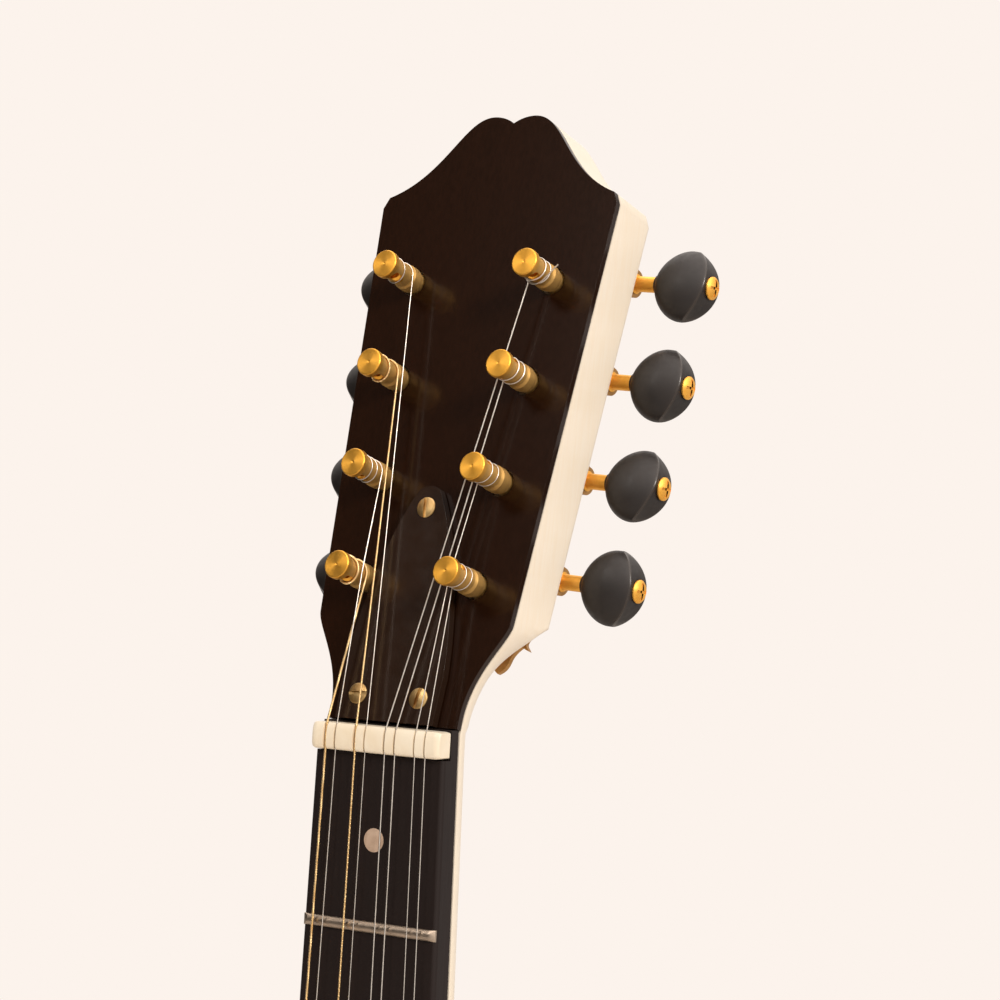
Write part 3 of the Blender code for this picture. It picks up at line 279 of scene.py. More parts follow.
def joined(name, items):
    # several meshes of one piece as one mesh
    shape = bmesh.new()
    for item in items:
        item.data.transform(item.matrix_world)
        shape.from_mesh(item.data)
        bpy.data.objects.remove(item)
    mesh = bpy.data.meshes.new(name)
    shape.to_mesh(mesh)
    shape.free()
    return linked(name, mesh)


def dressed(item, finish, node=None, body="instrument", smoothDeg=32, flatFaces=True):
    # shading, finish, the body that the piece rides on and the CAD node that it stands in for
    item.data.materials.clear()
    item.data.materials.append(finish)
    item.data.shade_smooth()
    item.data.set_sharp_from_angle(angle=math.radians(smoothDeg))
    if flatFaces:
        # broad faces stay flat, and the small bevels beside them take the turn of the light
        item.modifiers.new("normals", "WEIGHTED_NORMAL").keep_sharp = True
        item = settled(item)
    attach(item, body)
    if node:
        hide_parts(node)


# Geometry Nodes: one tree that repeats a shape, one for strings, one for the bowl
def newTree(name, sockets):
    tree = bpy.data.node_groups.new(name, "GeometryNodeTree")
    tree.interface.new_socket("Geometry", in_out="INPUT", socket_type="NodeSocketGeometry")
    for label, kind in sockets:
        tree.interface.new_socket(label, in_out="INPUT", socket_type="NodeSocket" + kind)
    tree.interface.new_socket("Geometry", in_out="OUTPUT", socket_type="NodeSocketGeometry")
    return tree, addNode(tree, "NodeGroupInput").outputs


def endTree(tree, geometry, material):
    real = addNode(tree, "GeometryNodeRealizeInstances", {0: geometry})
    done = addNode(tree, "GeometryNodeSetMaterial", {"Geometry": real, "Material": material})
    addNode(tree, "NodeGroupOutput", {0: done})
    return tree


def growNodes(item, tree, values):
    # runs a tree on an object, with its inputs set by their sockets' identifiers
    change = item.modifiers.new("grow", "NODES")
    change.node_group = tree
    for socket in tree.interface.items_tree:
        if socket.item_type == "SOCKET" and socket.in_out == "INPUT" and socket.name in values:
            change[socket.identifier] = values[socket.name]
    return settled(item)


def repeatTree():
    # one shape at every point, turned and scaled by the points' own attributes
    tree, given = newTree("repeatShape", (("Shape", "Object"), ("Finish", "Material")))
    shape = addNode(tree, "GeometryNodeObjectInfo", {"Object": given["Shape"]}).outputs["Geometry"]
    turn, size = (addNode(tree, "GeometryNodeInputNamedAttribute", {"Name": name}, data_type="FLOAT_VECTOR")
                  for name in ("turn", "size"))
    copies = addNode(tree, "GeometryNodeInstanceOnPoints",
                     {"Points": given["Geometry"], "Instance": shape, "Rotation": turn, "Scale": size})
    return endTree(tree, copies, given["Finish"])


def stringTree():
    # a round core along the curve, and for a wound string a fine wire that climbs round it
    tree, given = newTree("stringAlongCurve", (("Radius", "Float"), ("Wire", "Float"), ("Pitch", "Float"),
                                               ("Wound", "Bool"), ("Finish", "Material")))
    ring = addNode(tree, "GeometryNodeCurvePrimitiveCircle", {"Resolution": 10, "Radius": given["Radius"]})
    core = addNode(tree, "GeometryNodeCurveToMesh", {"Curve": given["Geometry"], "Profile Curve": ring,
                                                     "Fill Caps": True})
    step = addNode(tree, "ShaderNodeMath", {0: given["Pitch"], 1: 7.0}, operation="DIVIDE")
    fine = addNode(tree, "GeometryNodeResampleCurve", {"Curve": given["Geometry"], "Length": step},
                   mode="LENGTH")
    length = addNode(tree, "GeometryNodeSplineParameter").outputs["Length"]
    turns = addNode(tree, "ShaderNodeMath", {0: length, 1: given["Pitch"]}, operation="DIVIDE")
    angle = addNode(tree, "ShaderNodeMath", {0: turns, 1: 2 * math.pi}, operation="MULTIPLY")
    outward = addNode(tree, "ShaderNodeVectorRotate", {"Vector": addNode(tree, "GeometryNodeInputNormal"),
                                                       "Axis": addNode(tree, "GeometryNodeInputTangent"),
                                                       "Angle": angle})
    reach = addNode(tree, "ShaderNodeVectorMath", {0: outward, "Scale": given["Radius"]}, operation="SCALE")
    helix = addNode(tree, "GeometryNodeSetPosition", {"Geometry": fine, "Offset": reach})
    small = addNode(tree, "GeometryNodeCurvePrimitiveCircle", {"Resolution": 4, "Radius": given["Wire"]})
    wire = addNode(tree, "GeometryNodeCurveToMesh", {"Curve": helix, "Profile Curve": small,
                                                     "Fill Caps": True})
    both = addNode(tree, "GeometryNodeJoinGeometry", {0: core})
    feed(both, {0: wire})
    chosen = addNode(tree, "GeometryNodeSwitch", {"Switch": given["Wound"], "False": core, "True": both},
                     input_type="GEOMETRY")
    return endTree(tree, chosen, given["Finish"])


def bowlTree():
    # a grid bent to the rule of the bowl: its half width follows the outline, every stave is a gently
    # crowned strip between two angles, and "stave" and "seam" are kept for the finish
    tree, given = newTree("stavedBowl", (("Outline", "Object"), ("Staves", "Int"), ("Across", "Int"),
                                         ("Along", "Int"), ("Depth Ratio", "Float"), ("Rim", "Float"),
                                         ("Crown", "Float"), ("Finish", "Material")))
    grid = addNode(tree, "GeometryNodeMeshGrid", {"Size X": 1.0, "Size Y": 1.0, "Vertices X": given["Along"]})
    place = addNode(tree, "ShaderNodeSeparateXYZ", {0: addNode(tree, "GeometryNodeInputPosition")}).outputs
    outline = addNode(tree, "GeometryNodeObjectInfo", {"Object": given["Outline"]}).outputs["Geometry"]
    sample = addNode(tree, "GeometryNodeSampleCurve", {"Curves": outline}, mode="FACTOR")
    spot = addNode(tree, "ShaderNodeSeparateXYZ", {0: sample.outputs["Position"]}).outputs
    found = {"x": place[0], "y": place[1], "half": spot[0], **{socket.name: socket for socket in given}}
    # one Math node each: the name of what it finds, its operation and its two inputs
    steps = [("columns", "MULTIPLY", "Staves", "Across"), ("columns", "ADD", "columns", 1.0),
             ("way", "ADD", "x", 0.5), ("lane", "ADD", "y", 0.5), ("lane", "MULTIPLY", "lane", "Staves"),
             ("whole", "ADD", "lane", 0.0001), ("whole", "FLOOR", "whole", 0.0),
             ("last", "SUBTRACT", "Staves", 1.0), ("stave", "MINIMUM", "whole", "last"),
             ("part", "SUBTRACT", "lane", "stave"), ("rest", "SUBTRACT", 1.0, "part"),
             ("step", "DIVIDE", math.pi, "Staves"), ("first", "MULTIPLY", "stave", "step"),
             ("second", "ADD", "first", "step"), ("halfStep", "MULTIPLY", "step", 0.5),
             ("middle", "ADD", "first", "halfStep"), ("bulge", "MULTIPLY", "part", "rest"),
             ("bulge", "MULTIPLY", "bulge", 4.0), ("bulge", "MULTIPLY", "bulge", "Crown")]
    for kind, name in (("COSINE", "wide"), ("SINE", "deep")):
        # the stave's chord between its two edges, then its crown
        steps += [("a", kind, "first", 0.0), ("b", kind, "second", 0.0), ("c", kind, "middle", 0.0),
                  ("a", "MULTIPLY", "a", "rest"), ("b", "MULTIPLY", "b", "part"), ("chord", "ADD", "a", "b"),
                  ("chord", "MULTIPLY", "half", "chord"), ("c", "MULTIPLY", "bulge", "c"),
                  (name, "ADD", "chord", "c")]
    steps += [("deep", "MULTIPLY", "deep", "Depth Ratio"), ("deep", "SUBTRACT", "deep", "Rim"),
              ("edge", "MINIMUM", "part", "rest"), ("width", "MULTIPLY", "half", "step"),
              ("seam", "MULTIPLY", "edge", "width")]
    for name, operation, a, b in steps:
        found[name] = addNode(tree, "ShaderNodeMath", {0: found.get(a, a), 1: found.get(b, b)},
                              operation=operation).outputs[0]
    feed(grid, {"Vertices Y": found["columns"]})
    feed(sample, {"Factor": found["way"]})
    kept = grid
    for name in ("stave", "seam"):
        kept = addNode(tree, "GeometryNodeStoreNamedAttribute",
                       {"Geometry": kept, "Name": name, "Value": found[name]}, data_type="FLOAT")
    point = addNode(tree, "ShaderNodeCombineXYZ", {0: found["wide"], 1: found["deep"], 2: spot[1]})
    bent = addNode(tree, "GeometryNodeSetPosition", {"Geometry": kept, "Position": point})
    return endTree(tree, bent, given["Finish"])


repeatNodes, stringNodes, bowlNodes = repeatTree(), stringTree(), bowlTree()


def repeated(name, shape, spots, finish, sizes=()):
    # a copy of the shape at every spot, as long along x as its size says
    holder = addMesh(name, [tuple(spot.translation / mm) for spot in spots], [])
    store(holder, "turn", "FLOAT_VECTOR", [c for spot in spots for c in spot.to_euler()])
    sizes = sizes or [1.0] * len(spots)
    store(holder, "size", "FLOAT_VECTOR", [c for size in sizes for c in (size, 1.0, 1.0)])
    copies = growNodes(holder, repeatNodes, {"Shape": shape, "Finish": finish})
    bpy.data.objects.remove(shape)
    dressed(copies, finish)


print("helpers and node trees are ready")


# finishes
def newFinish(name, color, roughness, metallic=0.0, **more):
    made = bpy.data.materials.new(name)
    made.use_nodes = True
    shader = made.node_tree.nodes["Principled BSDF"]
    feed(shader, {"Base Color": linear(color), "Roughness": roughness, "Metallic": metallic})
    feed(shader, {key.replace("_", " "): value for key, value in more.items()})
    return made, made.node_tree, shader


def noise(tree, cell, stretch=(1, 1, 1), detail=3.0, distortion=0.0):
    # noise with cells of about this many millimetres, longer where stretch is above 1
    where = addNode(tree, "ShaderNodeTexCoord").outputs["Object"]
    scale = [1 / (cell * mm * s) for s in stretch]
    laid = addNode(tree, "ShaderNodeMapping", {"Vector": where, "Scale": scale})
    return addNode(tree, "ShaderNodeTexNoise", {"Vector": laid, "Scale": 1.0, "Detail": detail,
                                                "Distortion": distortion})


def toned(tree, factor, low, high, start=0.35, end=0.65):
    # colours between two codes as the factor goes from start to end
    ramp = addNode(tree, "ShaderNodeValToRGB", {0: factor})
    for stop, place, color in zip(ramp.color_ramp.elements, (start, end), (low, high)):
        stop.position, stop.color = place, linear(color)
    return ramp


def layered(tree, tone, *layers):
    # colours laid over each other, each as strong as its factor
    for factor, color in layers:
        tone = addNode(tree, "ShaderNodeMix", {0: factor, 6: tone, 7: color}, data_type="RGBA").outputs[2]
    return tone


def surfaced(shader, tone, skin, low, high, relief, height=None, worn=None):
    # gloss between low and high and relief of so many millimetres, both from the noise of the skin;
    # worn is a mask with a colour laid over the tone and a change of roughness: on the knobs' crease the
    # colour is a painted highlight, on the posts' barrels a painted shade
    tree = shader.id_data
    gloss = addNode(tree, "ShaderNodeMapRange", {"Value": skin, "From Min": 0.3, "From Max": 0.7,
                                                 "To Min": low, "To Max": high})
    if worn:
        mask, color, change = worn
        tone = layered(tree, tone, (mask, linear(color)))
        gloss = addNode(tree, "ShaderNodeMath", {0: mask, 1: change, 2: gloss}, operation="MULTIPLY_ADD")
    bump = addNode(tree, "ShaderNodeBump", {"Height": height or skin, "Distance": relief * mm,
                                            "Strength": 1.0})
    feed(shader, {"Base Color": tone, "Roughness": gloss, "Normal": bump})


def woodFinish(name, colors, roughness, grain, length, relief, figure=0.0, spread=0.15, **more):
    # planed wood: fibres run along the neck, in lines of about grain millimetres, with wider bands
    # of colour and, in maple, a silky figure across the fibres
    made, tree, shader = newFinish(name, colors[0], roughness, **more)
    fibre = noise(tree, grain, (1, 1, length), 4.0, 0.3)
    band = noise(tree, grain * 9, (1, 1, length / 4), 2.0, 0.5)
    layers = [(0.5, toned(tree, fibre, colors[2], colors[0], 0.38, 0.6))]
    if figure:
        flame = noise(tree, 9.0, (3.5, 3.5, 0.55), 1.0, 0.8)
        layers.append((figure, toned(tree, flame, colors[1], colors[0], 0.4, 0.62)))
    tone = layered(tree, toned(tree, band, colors[0], colors[1], 0.3, 0.7), *layers)
    surfaced(shader, tone, fibre, roughness * (1 - spread), roughness * (1 + spread), relief)
    return made


def metalFinish(name, color, worn, roughness, marks=0.0, paintedShade=None, **more):
    # plated or bare metal: slow changes of tone from handling, fine scuffs in the gloss, and where
    # a piece was turned, rings of about 0.12 mm drawn a little coarser than the real tool marks
    made, tree, shader = newFinish(name, color, roughness, 1.0, **more)
    tone = toned(tree, noise(tree, 2.6, detail=4.0), worn, color, 0.3, 0.62)
    scuff = noise(tree, 0.25, detail=5.0)
    height = shadedAndDulled = None
    if marks:
        # the grooves spread a highlight square to themselves
        way = addNode(tree, "ShaderNodeAttribute", attribute_name="turned").outputs["Fac"]
        lie = addNode(tree, "ShaderNodeAttribute", attribute_name="across").outputs["Vector"]
        lie = addNode(tree, "ShaderNodeVectorTransform", {0: lie}, vector_type="VECTOR",
                      convert_from="OBJECT", convert_to="WORLD")
        feed(shader, {"Tangent": lie, "Anisotropic": 0.45})
        rings = addNode(tree, "ShaderNodeTexNoise", {"W": way, "Scale": 1 / (0.12 * mm), "Detail": 2.0},
                        noise_dimensions="1D")
        height = addNode(tree, "ShaderNodeMix", {0: 0.8, 2: scuff, 3: rings})
        if paintedShade:
            # further down the profile the plating is painted browner and darker, a painted shade, and is
            # duller
            down = addNode(tree, "ShaderNodeMapRange", {"Value": way, "From Min": 3.2 * mm,
                                                        "From Max": 5.0 * mm})
            shadedAndDulled = (down, paintedShade, 0.16)
    surfaced(shader, tone, scuff, roughness * 0.75, roughness * 1.3, marks or 0.002, height, shadedAndDulled)
    return made


def mouldedFinish(name, colors, roughness, cell=1.2, relief=0.006, edge=None, **more):
    # cast or moulded plastic, bone and pearl: a faint cloud of tone and an uneven polish; along an edge
    # that fingers rub, marked by an attribute, the gloss is higher and a paler colour is a painted highlight
    made, tree, shader = newFinish(name, colors[0], roughness, **more)
    tone = toned(tree, noise(tree, cell * 4, distortion=0.6), colors[1], colors[0])
    rubbed = addNode(tree, "ShaderNodeAttribute", attribute_name="rubbed").outputs["Fac"] if edge else None
    surfaced(shader, tone, noise(tree, cell, detail=4.0), roughness * 0.9, roughness * 1.15, relief,
             worn=(rubbed, edge, -0.26) if edge else None)
    return made


def staveFinish(name, wood, boards, strip, roughness, **more):
    # flamed maple staves under gloss lacquer, each cut from another board, with thin black
    # strips about 0.8 mm wide between them; the inner side of the wall is the same wood
    made, tree, shader = newFinish(name, wood[0], roughness, **more)
    fibre = noise(tree, 0.8, (1, 1, 45), 4.0, 0.3)
    flame = noise(tree, 11.0, (4, 4, 0.5), 1.5, 1.0)
    number = addNode(tree, "ShaderNodeAttribute", attribute_name="stave").outputs["Fac"]
    board = addNode(tree, "ShaderNodeTexWhiteNoise", {"W": number}, noise_dimensions="1D").outputs["Value"]
    tone = layered(tree, toned(tree, board, boards[0], boards[1], 0.0, 1.0),
                   (0.5, toned(tree, flame, wood[1], wood[0], 0.38, 0.62)),
                   (0.3, toned(tree, fibre, wood[2], wood[0], 0.36, 0.58)))
    seam = addNode(tree, "ShaderNodeAttribute", attribute_name="seam").outputs["Fac"]
    bare = addNode(tree, "ShaderNodeMapRange", {"Value": seam, "From Min": 0.36 * mm, "From Max": 0.48 * mm})
    tone = layered(tree, linear(strip), (bare, tone))
    surfaced(shader, tone, fibre, roughness * 0.8, roughness * 1.2, 0.004)
    return made


# maple sealed with a thin satin lacquer: nearly white cream, fibres just visible
mapleSatin = woodFinish("mapleSatinLacquer", ("#FBF0E0", "#F8EAD5", "#F7E7D0"), 0.42, 0.6, 50.0, 0.002, 0.2)
# rosewood veneer stained near black and rubbed to a half gloss, so the posts blur in it
darkVeneer = woodFinish("stainedRosewoodVeneer", ("#251207", "#211006", "#1C0D05"), 0.17, 0.5, 60.0, 0.0002,
                        0.0, 0.04, Specular_IOR_Level=0.3)
# ebony fretboard, oiled: black with brown pores and a dull sheen
boardEbony = woodFinish("oiledEbony", ("#1E1513", "#1B1311", "#221816"), 0.48, 0.35, 30.0, 0.003,
                        Specular_IOR_Level=0.22)
# spruce top under clear gloss: straight annual rings about 1.4 mm apart
spruceTop = woodFinish("lacqueredSpruce", ("#E8C78F", "#E0B97C", "#CFA265"), 0.36, 1.0, 300.0, 0.003,
                       Coat_Weight=0.6, Coat_Roughness=0.08)
# rosewood bridge, waxed: brown with near-black streaks
rosewoodWax = woodFinish("waxedRosewood", ("#4A2A1C", "#3A2016", "#24130D"), 0.38, 0.5, 12.0, 0.01)
# raw spruce inside the box: dry and pale, never finished
rawSpruce = woodFinish("rawSpruce", ("#DDBF8D", "#CFAE7B", "#BF9A66"), 0.75, 0.9, 120.0, 0.02)
# ebonised hardwood for the edge strip and the strap button: black with a soft polish
ebonisedWood = woodFinish("ebonisedWood", ("#211A17", "#1B1512", "#15100E"), 0.3, 0.4, 20.0, 0.004)
# flamed maple ribs of the bowl, bent and lacquered: figure across each rib, deep gloss
stavedMaple = staveFinish("flamedMapleStaves", ("#E0B479", "#C98F52", "#B97E43"), ("#D7A468", "#E8C08A"),
                          "#231510", 0.3, Coat_Weight=0.8, Coat_Roughness=0.06)
# gold-plated brass, turned on a lathe: warm yellow with soft rings; the posts' barrels are painted browner, a
# painted shade
goldTurned = metalFinish("goldPlatedBrassTurned", "#E5A945", "#DA9E3C", 0.4, 0.0014, "#BE985A")
# the same plating on the thin shafts, painted brighter as painted light, with a wider highlight
goldShaft = metalFinish("goldPlatedBrassShaft", "#F8BE5A", "#EBAF4A", 0.52, 0.001)
# gold-plated brass, stamped: darker and redder than the turned pieces, a painted shade on the plates and
# their screws
goldStamped = metalFinish("goldPlatedBrassStamped", "#BE9159", "#A57A45", 0.4)
# bare machined brass of the worm wheels, greenish beside the plating
brassCut = metalFinish("machinedBrass", "#C9A55C", "#A98A48", 0.36)
# small brass screws, aged: brown in the slots, dull on the heads
brassAged = metalFinish("agedBrassScrew", "#CBAD78", "#98764A", 0.42)
# nickel silver fret wire, drawn and dressed: a greyish brown shine
nickelSilver = metalFinish("nickelSilverFretWire", "#B5A493", "#A29384", 0.4)
# nickel-plated steel tailpiece, buffed: a clear, slightly warm mirror
nickelPlate = metalFinish("nickelPlatedSteel", "#CFCBC4", "#B9B4AC", 0.22)
# drawn steel of the thin strings and blued steel of the rod
stringSteel = metalFinish("drawnSteelString", "#E6DFD6", "#D0C7BD", 0.32)
rodSteel = metalFinish("steelRod", "#8E8D8B", "#6F6C69", 0.45)
# phosphor bronze wrap wire, drawn: pale gold that the turns break into grains of light
stringBronze = metalFinish("phosphorBronzeWrap", "#F2D5A0", "#E3C088", 0.42)
# black acetate buttons, polished then handled: satin with a grey bloom, and a paler crease colour that is a
# painted highlight
knobAcetate = mouldedFinish("blackAcetateButton", ("#1C1512", "#181210"), 0.5, relief=0.002, edge="#352D28",
                            Specular_IOR_Level=0.42)
# black styrene cover, moulded glossy
coverStyrene = mouldedFinish("blackStyreneCover", ("#29190F", "#28180E"), 0.2, 3.0, 0.0001)
# bleached bone, polished: cream with faint streaks
boneCream = mouldedFinish("polishedBone", ("#F6E9D3", "#F0DFC4"), 0.34, 2.0)
# mother of pearl dots: pinkish beige, cloudy
pearlDot = mouldedFinish("pearlInlay", ("#C9AE98", "#B89C86"), 0.3, 0.8)
# dark tortoise-pattern acetate under the picking hand: amber clouds in brown
guardAcetate = mouldedFinish("tortoiseAcetate", ("#2B130B", "#5A2A12"), 0.16, 3.0, Coat_Weight=0.5)
print("finishes are ready")

# main sizes and the levels that the pieces share
neck = {"scale": 670.0, "halfAtNut": 17.1, "flare": 0.0165, "boardThick": 5.3, "lip": 0.1,
        "depthAtNut": 12.4, "depthAtHead": 12.8, "depthAtHeel": 15.5, "heel": 62.0, "keel": 1.8,
        "turnBack": 0.9, "bodyFret": 14}
head = {"thick": 16.4, "overlay": 1.5, "length": 144.3, "throatStart": 3.0, "throatHalf": 25.5,
        "throatRise": 25.0, "squareStart": 13.0, "squareEnd": 28.0, "shoulderHalf": 31.8,
        "shoulderRise": 122.3, "shoulderRound": 1.2, "lobeHalf": 5.5, "lobeSweep": 8.4, "notch": 1.7,
        "edgeRound": 2.0, "faceBore": 3.2, "edge": 0.16, "cutReach": (-20.0, 5.0)}
rodChannel = {"half": 3.3, "deep": 15.3, "pastJoint": 19.7, "top": 34.0, "faceTop": 29.4, "front": 10.0}
nut = {"length": 34.0, "thick": 6.2, "rise": 2.2, "seat": 2.3, "slotPlay": 0.12, "endRound": 1.6}
body = {"half": 150.0, "tailMargin": 104.5, "depth": 155.0, "wall": 3.0, "staves": 15, "crown": 0.5,
        "top": 3.0, "binding": 2.5, "bindingGap": 0.1}
neckTop = -(neck["boardThick"] + fit)
coreTop = -(head["overlay"] + fit)
rim = neckTop - body["top"] - fit
tail = -(neck["scale"] + body["tailMargin"])
widest = tail + body["half"]


def fretPlace(number):
    return -neck["scale"] * (1 - 2 ** (-number / 12))


def boardHalf(place):
    return neck["halfAtNut"] - neck["flare"] * place


def neckHalf(place):
    return boardHalf(place) + neck["lip"]


joint = fretPlace(neck["bodyFret"])


def headSide(steps):
    # the head's right half from the nut up
    start, wide, rise = neckHalf(0), head["throatHalf"], head["throatRise"]
    low, long = head["throatStart"], head["length"]
    foot = (nut["thick"] + fit - headPlace["start"]) / math.cos(math.radians(headPlace["leanDeg"]))
    tip = (head["shoulderHalf"] - head["shoulderRound"], head["shoulderRise"] + 2.2 * head["shoulderRound"])
    return outlined((start, foot), (start, low),
                    ((start, (low + rise) / 2), (wide - (wide - start) * 0.05, rise * 0.84),
                     (wide, rise), steps),
                    (head["shoulderHalf"], head["shoulderRise"]), tip,
                    ((tip[0] * 0.516, tip[1] + (long - tip[1]) * 0.28),
                     (head["lobeHalf"] + head["lobeSweep"], long), (head["lobeHalf"], long), steps))


def notchArc(steps):
    # from a lobe's top down to the middle of the notch
    half, deep = head["lobeHalf"], head["notch"]
    radius = (half ** 2 + deep ** 2) / (2 * deep)
    reach = math.asin(half / radius)
    return [(half - radius * math.sin(reach * i / steps),
             head["length"] - radius * (1 - math.cos(reach * i / steps))) for i in range(1, steps + 1)]


# neck and head core, in one piece of maple
def keelRing(half, depth, power, count):
    return [(math.copysign(half * abs(c) ** (2 / power), c), -depth * abs(s) ** (2 / power))
            for c, s in arc(1, 1, steps=count - 1)]


def squareRing(half, depth, count):
    # a rectangle with round back edges: sides, corners and back get a third of the points each
    r, right = head["edgeRound"], []
    for i in range((count + 1) // 2):
        way = 3 * i / ((count - 1) // 2)
        if way < 1:
            right.append((half, -(depth - r) * way))
        elif way < 2:
            a = (way - 1) * math.pi / 2
            right.append((half - r + r * math.cos(a), -(depth - r + r * math.sin(a))))
        else:
            right.append(((half - r) * (3 - way), -depth))
    return right + [(-x, y) for x, y in reversed(right[:-1])]


def makeNeck():
    count, rings = 61, []
    atNut, atHead, atHeel = neck["depthAtNut"], neck["depthAtHead"], neck["depthAtHeel"]

    def add(plane, half, place, top, depth, power=neck["keel"], square=0.0):
        ring = zip(keelRing(half, depth, power, count), squareRing(half, depth, count))
        points = [(x + (sx - x) * square, place, top + z + (sz - z) * square) for (x, z), (sx, sz) in ring]
        rings.append([tuple(point / mm) for point in placed(plane, points)])

    heelDepth = neckTop - rim + body["depth"] * neckHalf(joint) / body["half"]
    heelTop = joint + fit + neck["heel"]
    for share in [i / 16 for i in range(17)]:
        place = joint + fit + share * neck["heel"]
        ease = (1 - share) ** 2 * (1 + 2 * share)
        add(frontPlane, neckHalf(place), place, neckTop, atHeel + (heelDepth - atHeel) * ease,
            neck["keel"] + (2.0 - neck["keel"]) * ease)
    for share in [i / 8 for i in range(1, 9)]:
        place = heelTop * (1 - share)
        add(frontPlane, neckHalf(place), place, neckTop, atHeel + (atNut - atHeel) * share)
    add(frontPlane, neckHalf(0), nut["thick"] - neck["turnBack"], neckTop, atNut)
    outline = headSide(20)[1:]
    wide, rise = head["throatHalf"], head["throatRise"]
    turn = outline.index((wide, rise)) + 1
    grow = (head["shoulderHalf"] - wide) / (head["shoulderRise"] - rise)
    # more rings where the back turns square
    extra = [(wide + grow * (high - rise), high) for high in (25.6, 26.4, 28.0, 60.0)]
    for half, high in outline[:turn] + extra + outline[turn:]:
        share = min(1.0, (high - head["throatStart"]) / (rise - head["throatStart"]))
        square = (high - head["squareStart"]) / (head["squareEnd"] - head["squareStart"])
        add(headPlane, half, high, coreTop, atHead + (coreTop + head["thick"] - atHead) * share,
            square=max(0.0, min(1.0, square)) ** 2)
    notch = [(head["lobeHalf"], head["length"] + 2), (head["lobeHalf"], head["length"])] + notchArc(10)
    cuts = [plate("notchCut", [mirrored(notch)], *head["cutReach"], headPlane)]
    for side, row, tag in machines:
        bore = ellipse(tuners["bore"], tuners["bore"], count=32)
        cuts.append(plate("postCut", [bore], *head["cutReach"], tunerPlane(side, row)))
    half = rodChannel["half"]
    cuts.append(block("rodCut", (-half, joint + rodChannel["pastJoint"], -rodChannel["deep"]),
                      (half, rodChannel["top"], rodChannel["front"]), frontPlane))
    dressed(cutBy(loft("neck_maple", rings), cuts), mapleSatin, "neck", smoothDeg=30)


makeNeck()
print("neck is ready")

# head veneer and the cover over the rod's end
cover = {"thick": 2.0, "length": 53.7, "half": 13.3, "shift": -0.8, "start": 0.9, "edge": 0.45,
         "screw": {"radius": 2.35, "high": 0.8, "slot": 0.8}, "screwSeat": 0.15,
         "screws": ((-8.9, 6.6, 4), (7.3, 6.6, 82), (-0.8, 49.6, 97))}


def makeVeneer():
    edge, half, high = headSide(40) + notchArc(12), rodChannel["half"], rodChannel["faceTop"]
    foot, bore = edge[0][1], head["faceBore"]
    slot = [(-half, foot), (-half, high), (half, high), (half, foot)]
    holes = [ellipse(bore, bore, postSpot(side, row), 40) for side, row, tag in machines]
    item = plate("head_veneer", [mirrored(edge) + slot] + holes, -head["overlay"], 0, headPlane)
    dressed(bevelled(item, head["edge"]), darkVeneer, "head_overlay")


def slottedScrew(radius, high, slot):
    # a low domed head with a straight slot, its foot at z = 0
    profile = [(radius * math.sin(a), high * (0.45 + 0.55 * math.cos(a)))
               for a in map(math.radians, (0, 15, 30, 45, 60, 72, 90))]
    reach = radius * 1.2
    groove = block("slotCut", (-reach, -slot / 2, high * 0.35), (reach, slot / 2, high * 2), unmoved)
    return cutBy(lathe("screwShape", profile + [(radius, 0), (0, 0)], steps=36), [groove])


def makeCover():
    half, start, long = cover["half"], cover["start"], cover["length"]
    tip, face = start + long, fit + cover["thick"]
    side = outlined((half - 0.3, start), (half, start + long * 0.2),
                    ((half - 0.4, long * 0.465), (half * 0.64, long * 0.82), (half * 0.2, tip - 0.8), 30),
                    ((half * 0.14, tip - 0.2), (half * 0.06, tip), (0.0, tip), 6))
    outline = [(x + cover["shift"], y) for x, y in mirrored(side)]
    item = bevelled(plate("rod_cover", [outline], fit, face, headPlane), cover["edge"], 3)
    dressed(item, coverStyrene, "truss_rod_cover")
    spots = [headPlane @ moved(x, y, face - cover["screwSeat"]) @ spun(turnDeg)
             for x, y, turnDeg in cover["screws"]]
    repeated("cover_screws", slottedScrew(**cover["screw"]), spots, brassAged)


makeVeneer()
makeCover()

# nut, fretboard, frets and dots
strings = {"diameters": (0.69, 0.30, 0.58, 0.26, 0.36, 0.36, 0.26, 0.26), "wound": (0, 2),
           "riseAtNut": 1.5, "spanAtNut": 11.9, "gapAtNut": 2.7, "spanAtSaddle": 24.0, "gapAtSaddle": 3.0,
           "leastTurns": (1.1, 2.1, 1.1, 1.1, 2.0, 1.6, 1.6, 1.6), "start": 4.5, "loopPoints": 36,
           "play": 0.04, "tails": {4: (24.6, 104.9, 7.4)}, "wrapPitch": 0.34, "wrapWire": 0.09}


def stringX(index, place):
    course, second = divmod(index, 2)
    span = strings["spanAt" + place]
    return -span + course * 2 * span / 3 + (second - 0.5) * strings["gapAt" + place]


def makeNut():
    deep, high, low = nut["thick"] - fit, nut["rise"], -nut["seat"]
    crown = outlined((0.0, low), (0.0, high - 1.0),
                     ((0.0, high - 0.35), (0.4, high - 0.05), (deep * 0.36, high), 8),
                     ((deep * 0.7, high), (deep, high - 0.2), (deep, high - 1.1), 10), (deep, low))
    # the ends are rounded off: each station has its place and how far it shrinks
    right = [(nut["length"] / 2 - nut["endRound"] * (1 - c), 1 - s) for c, s in arc(1, 1, (0, 0), 8, 0, 90)]
    rings = [[(x, deep / 2 + (y - deep / 2) * (1 - shrink * 0.16), z - shrink * 0.75 * max(0.0, z) / high)
              for y, z in crown]
             for x, shrink in [(-x, shrink) for x, shrink in right] + right[::-1]]
    cuts = []
    for index, diameter in enumerate(strings["diameters"]):
        x, wide = stringX(index, "Nut"), diameter / 2 + nut["slotPlay"]
        bottom = strings["riseAtNut"] - diameter / 2 - 0.05
        cuts.append(block("slotCut", (x - wide, -through, bottom), (x + wide, through, through), frontPlane))
    dressed(cutBy(loft("nut_bone", rings, frontPlane), cuts), boneCream, "nut", smoothDeg=40)


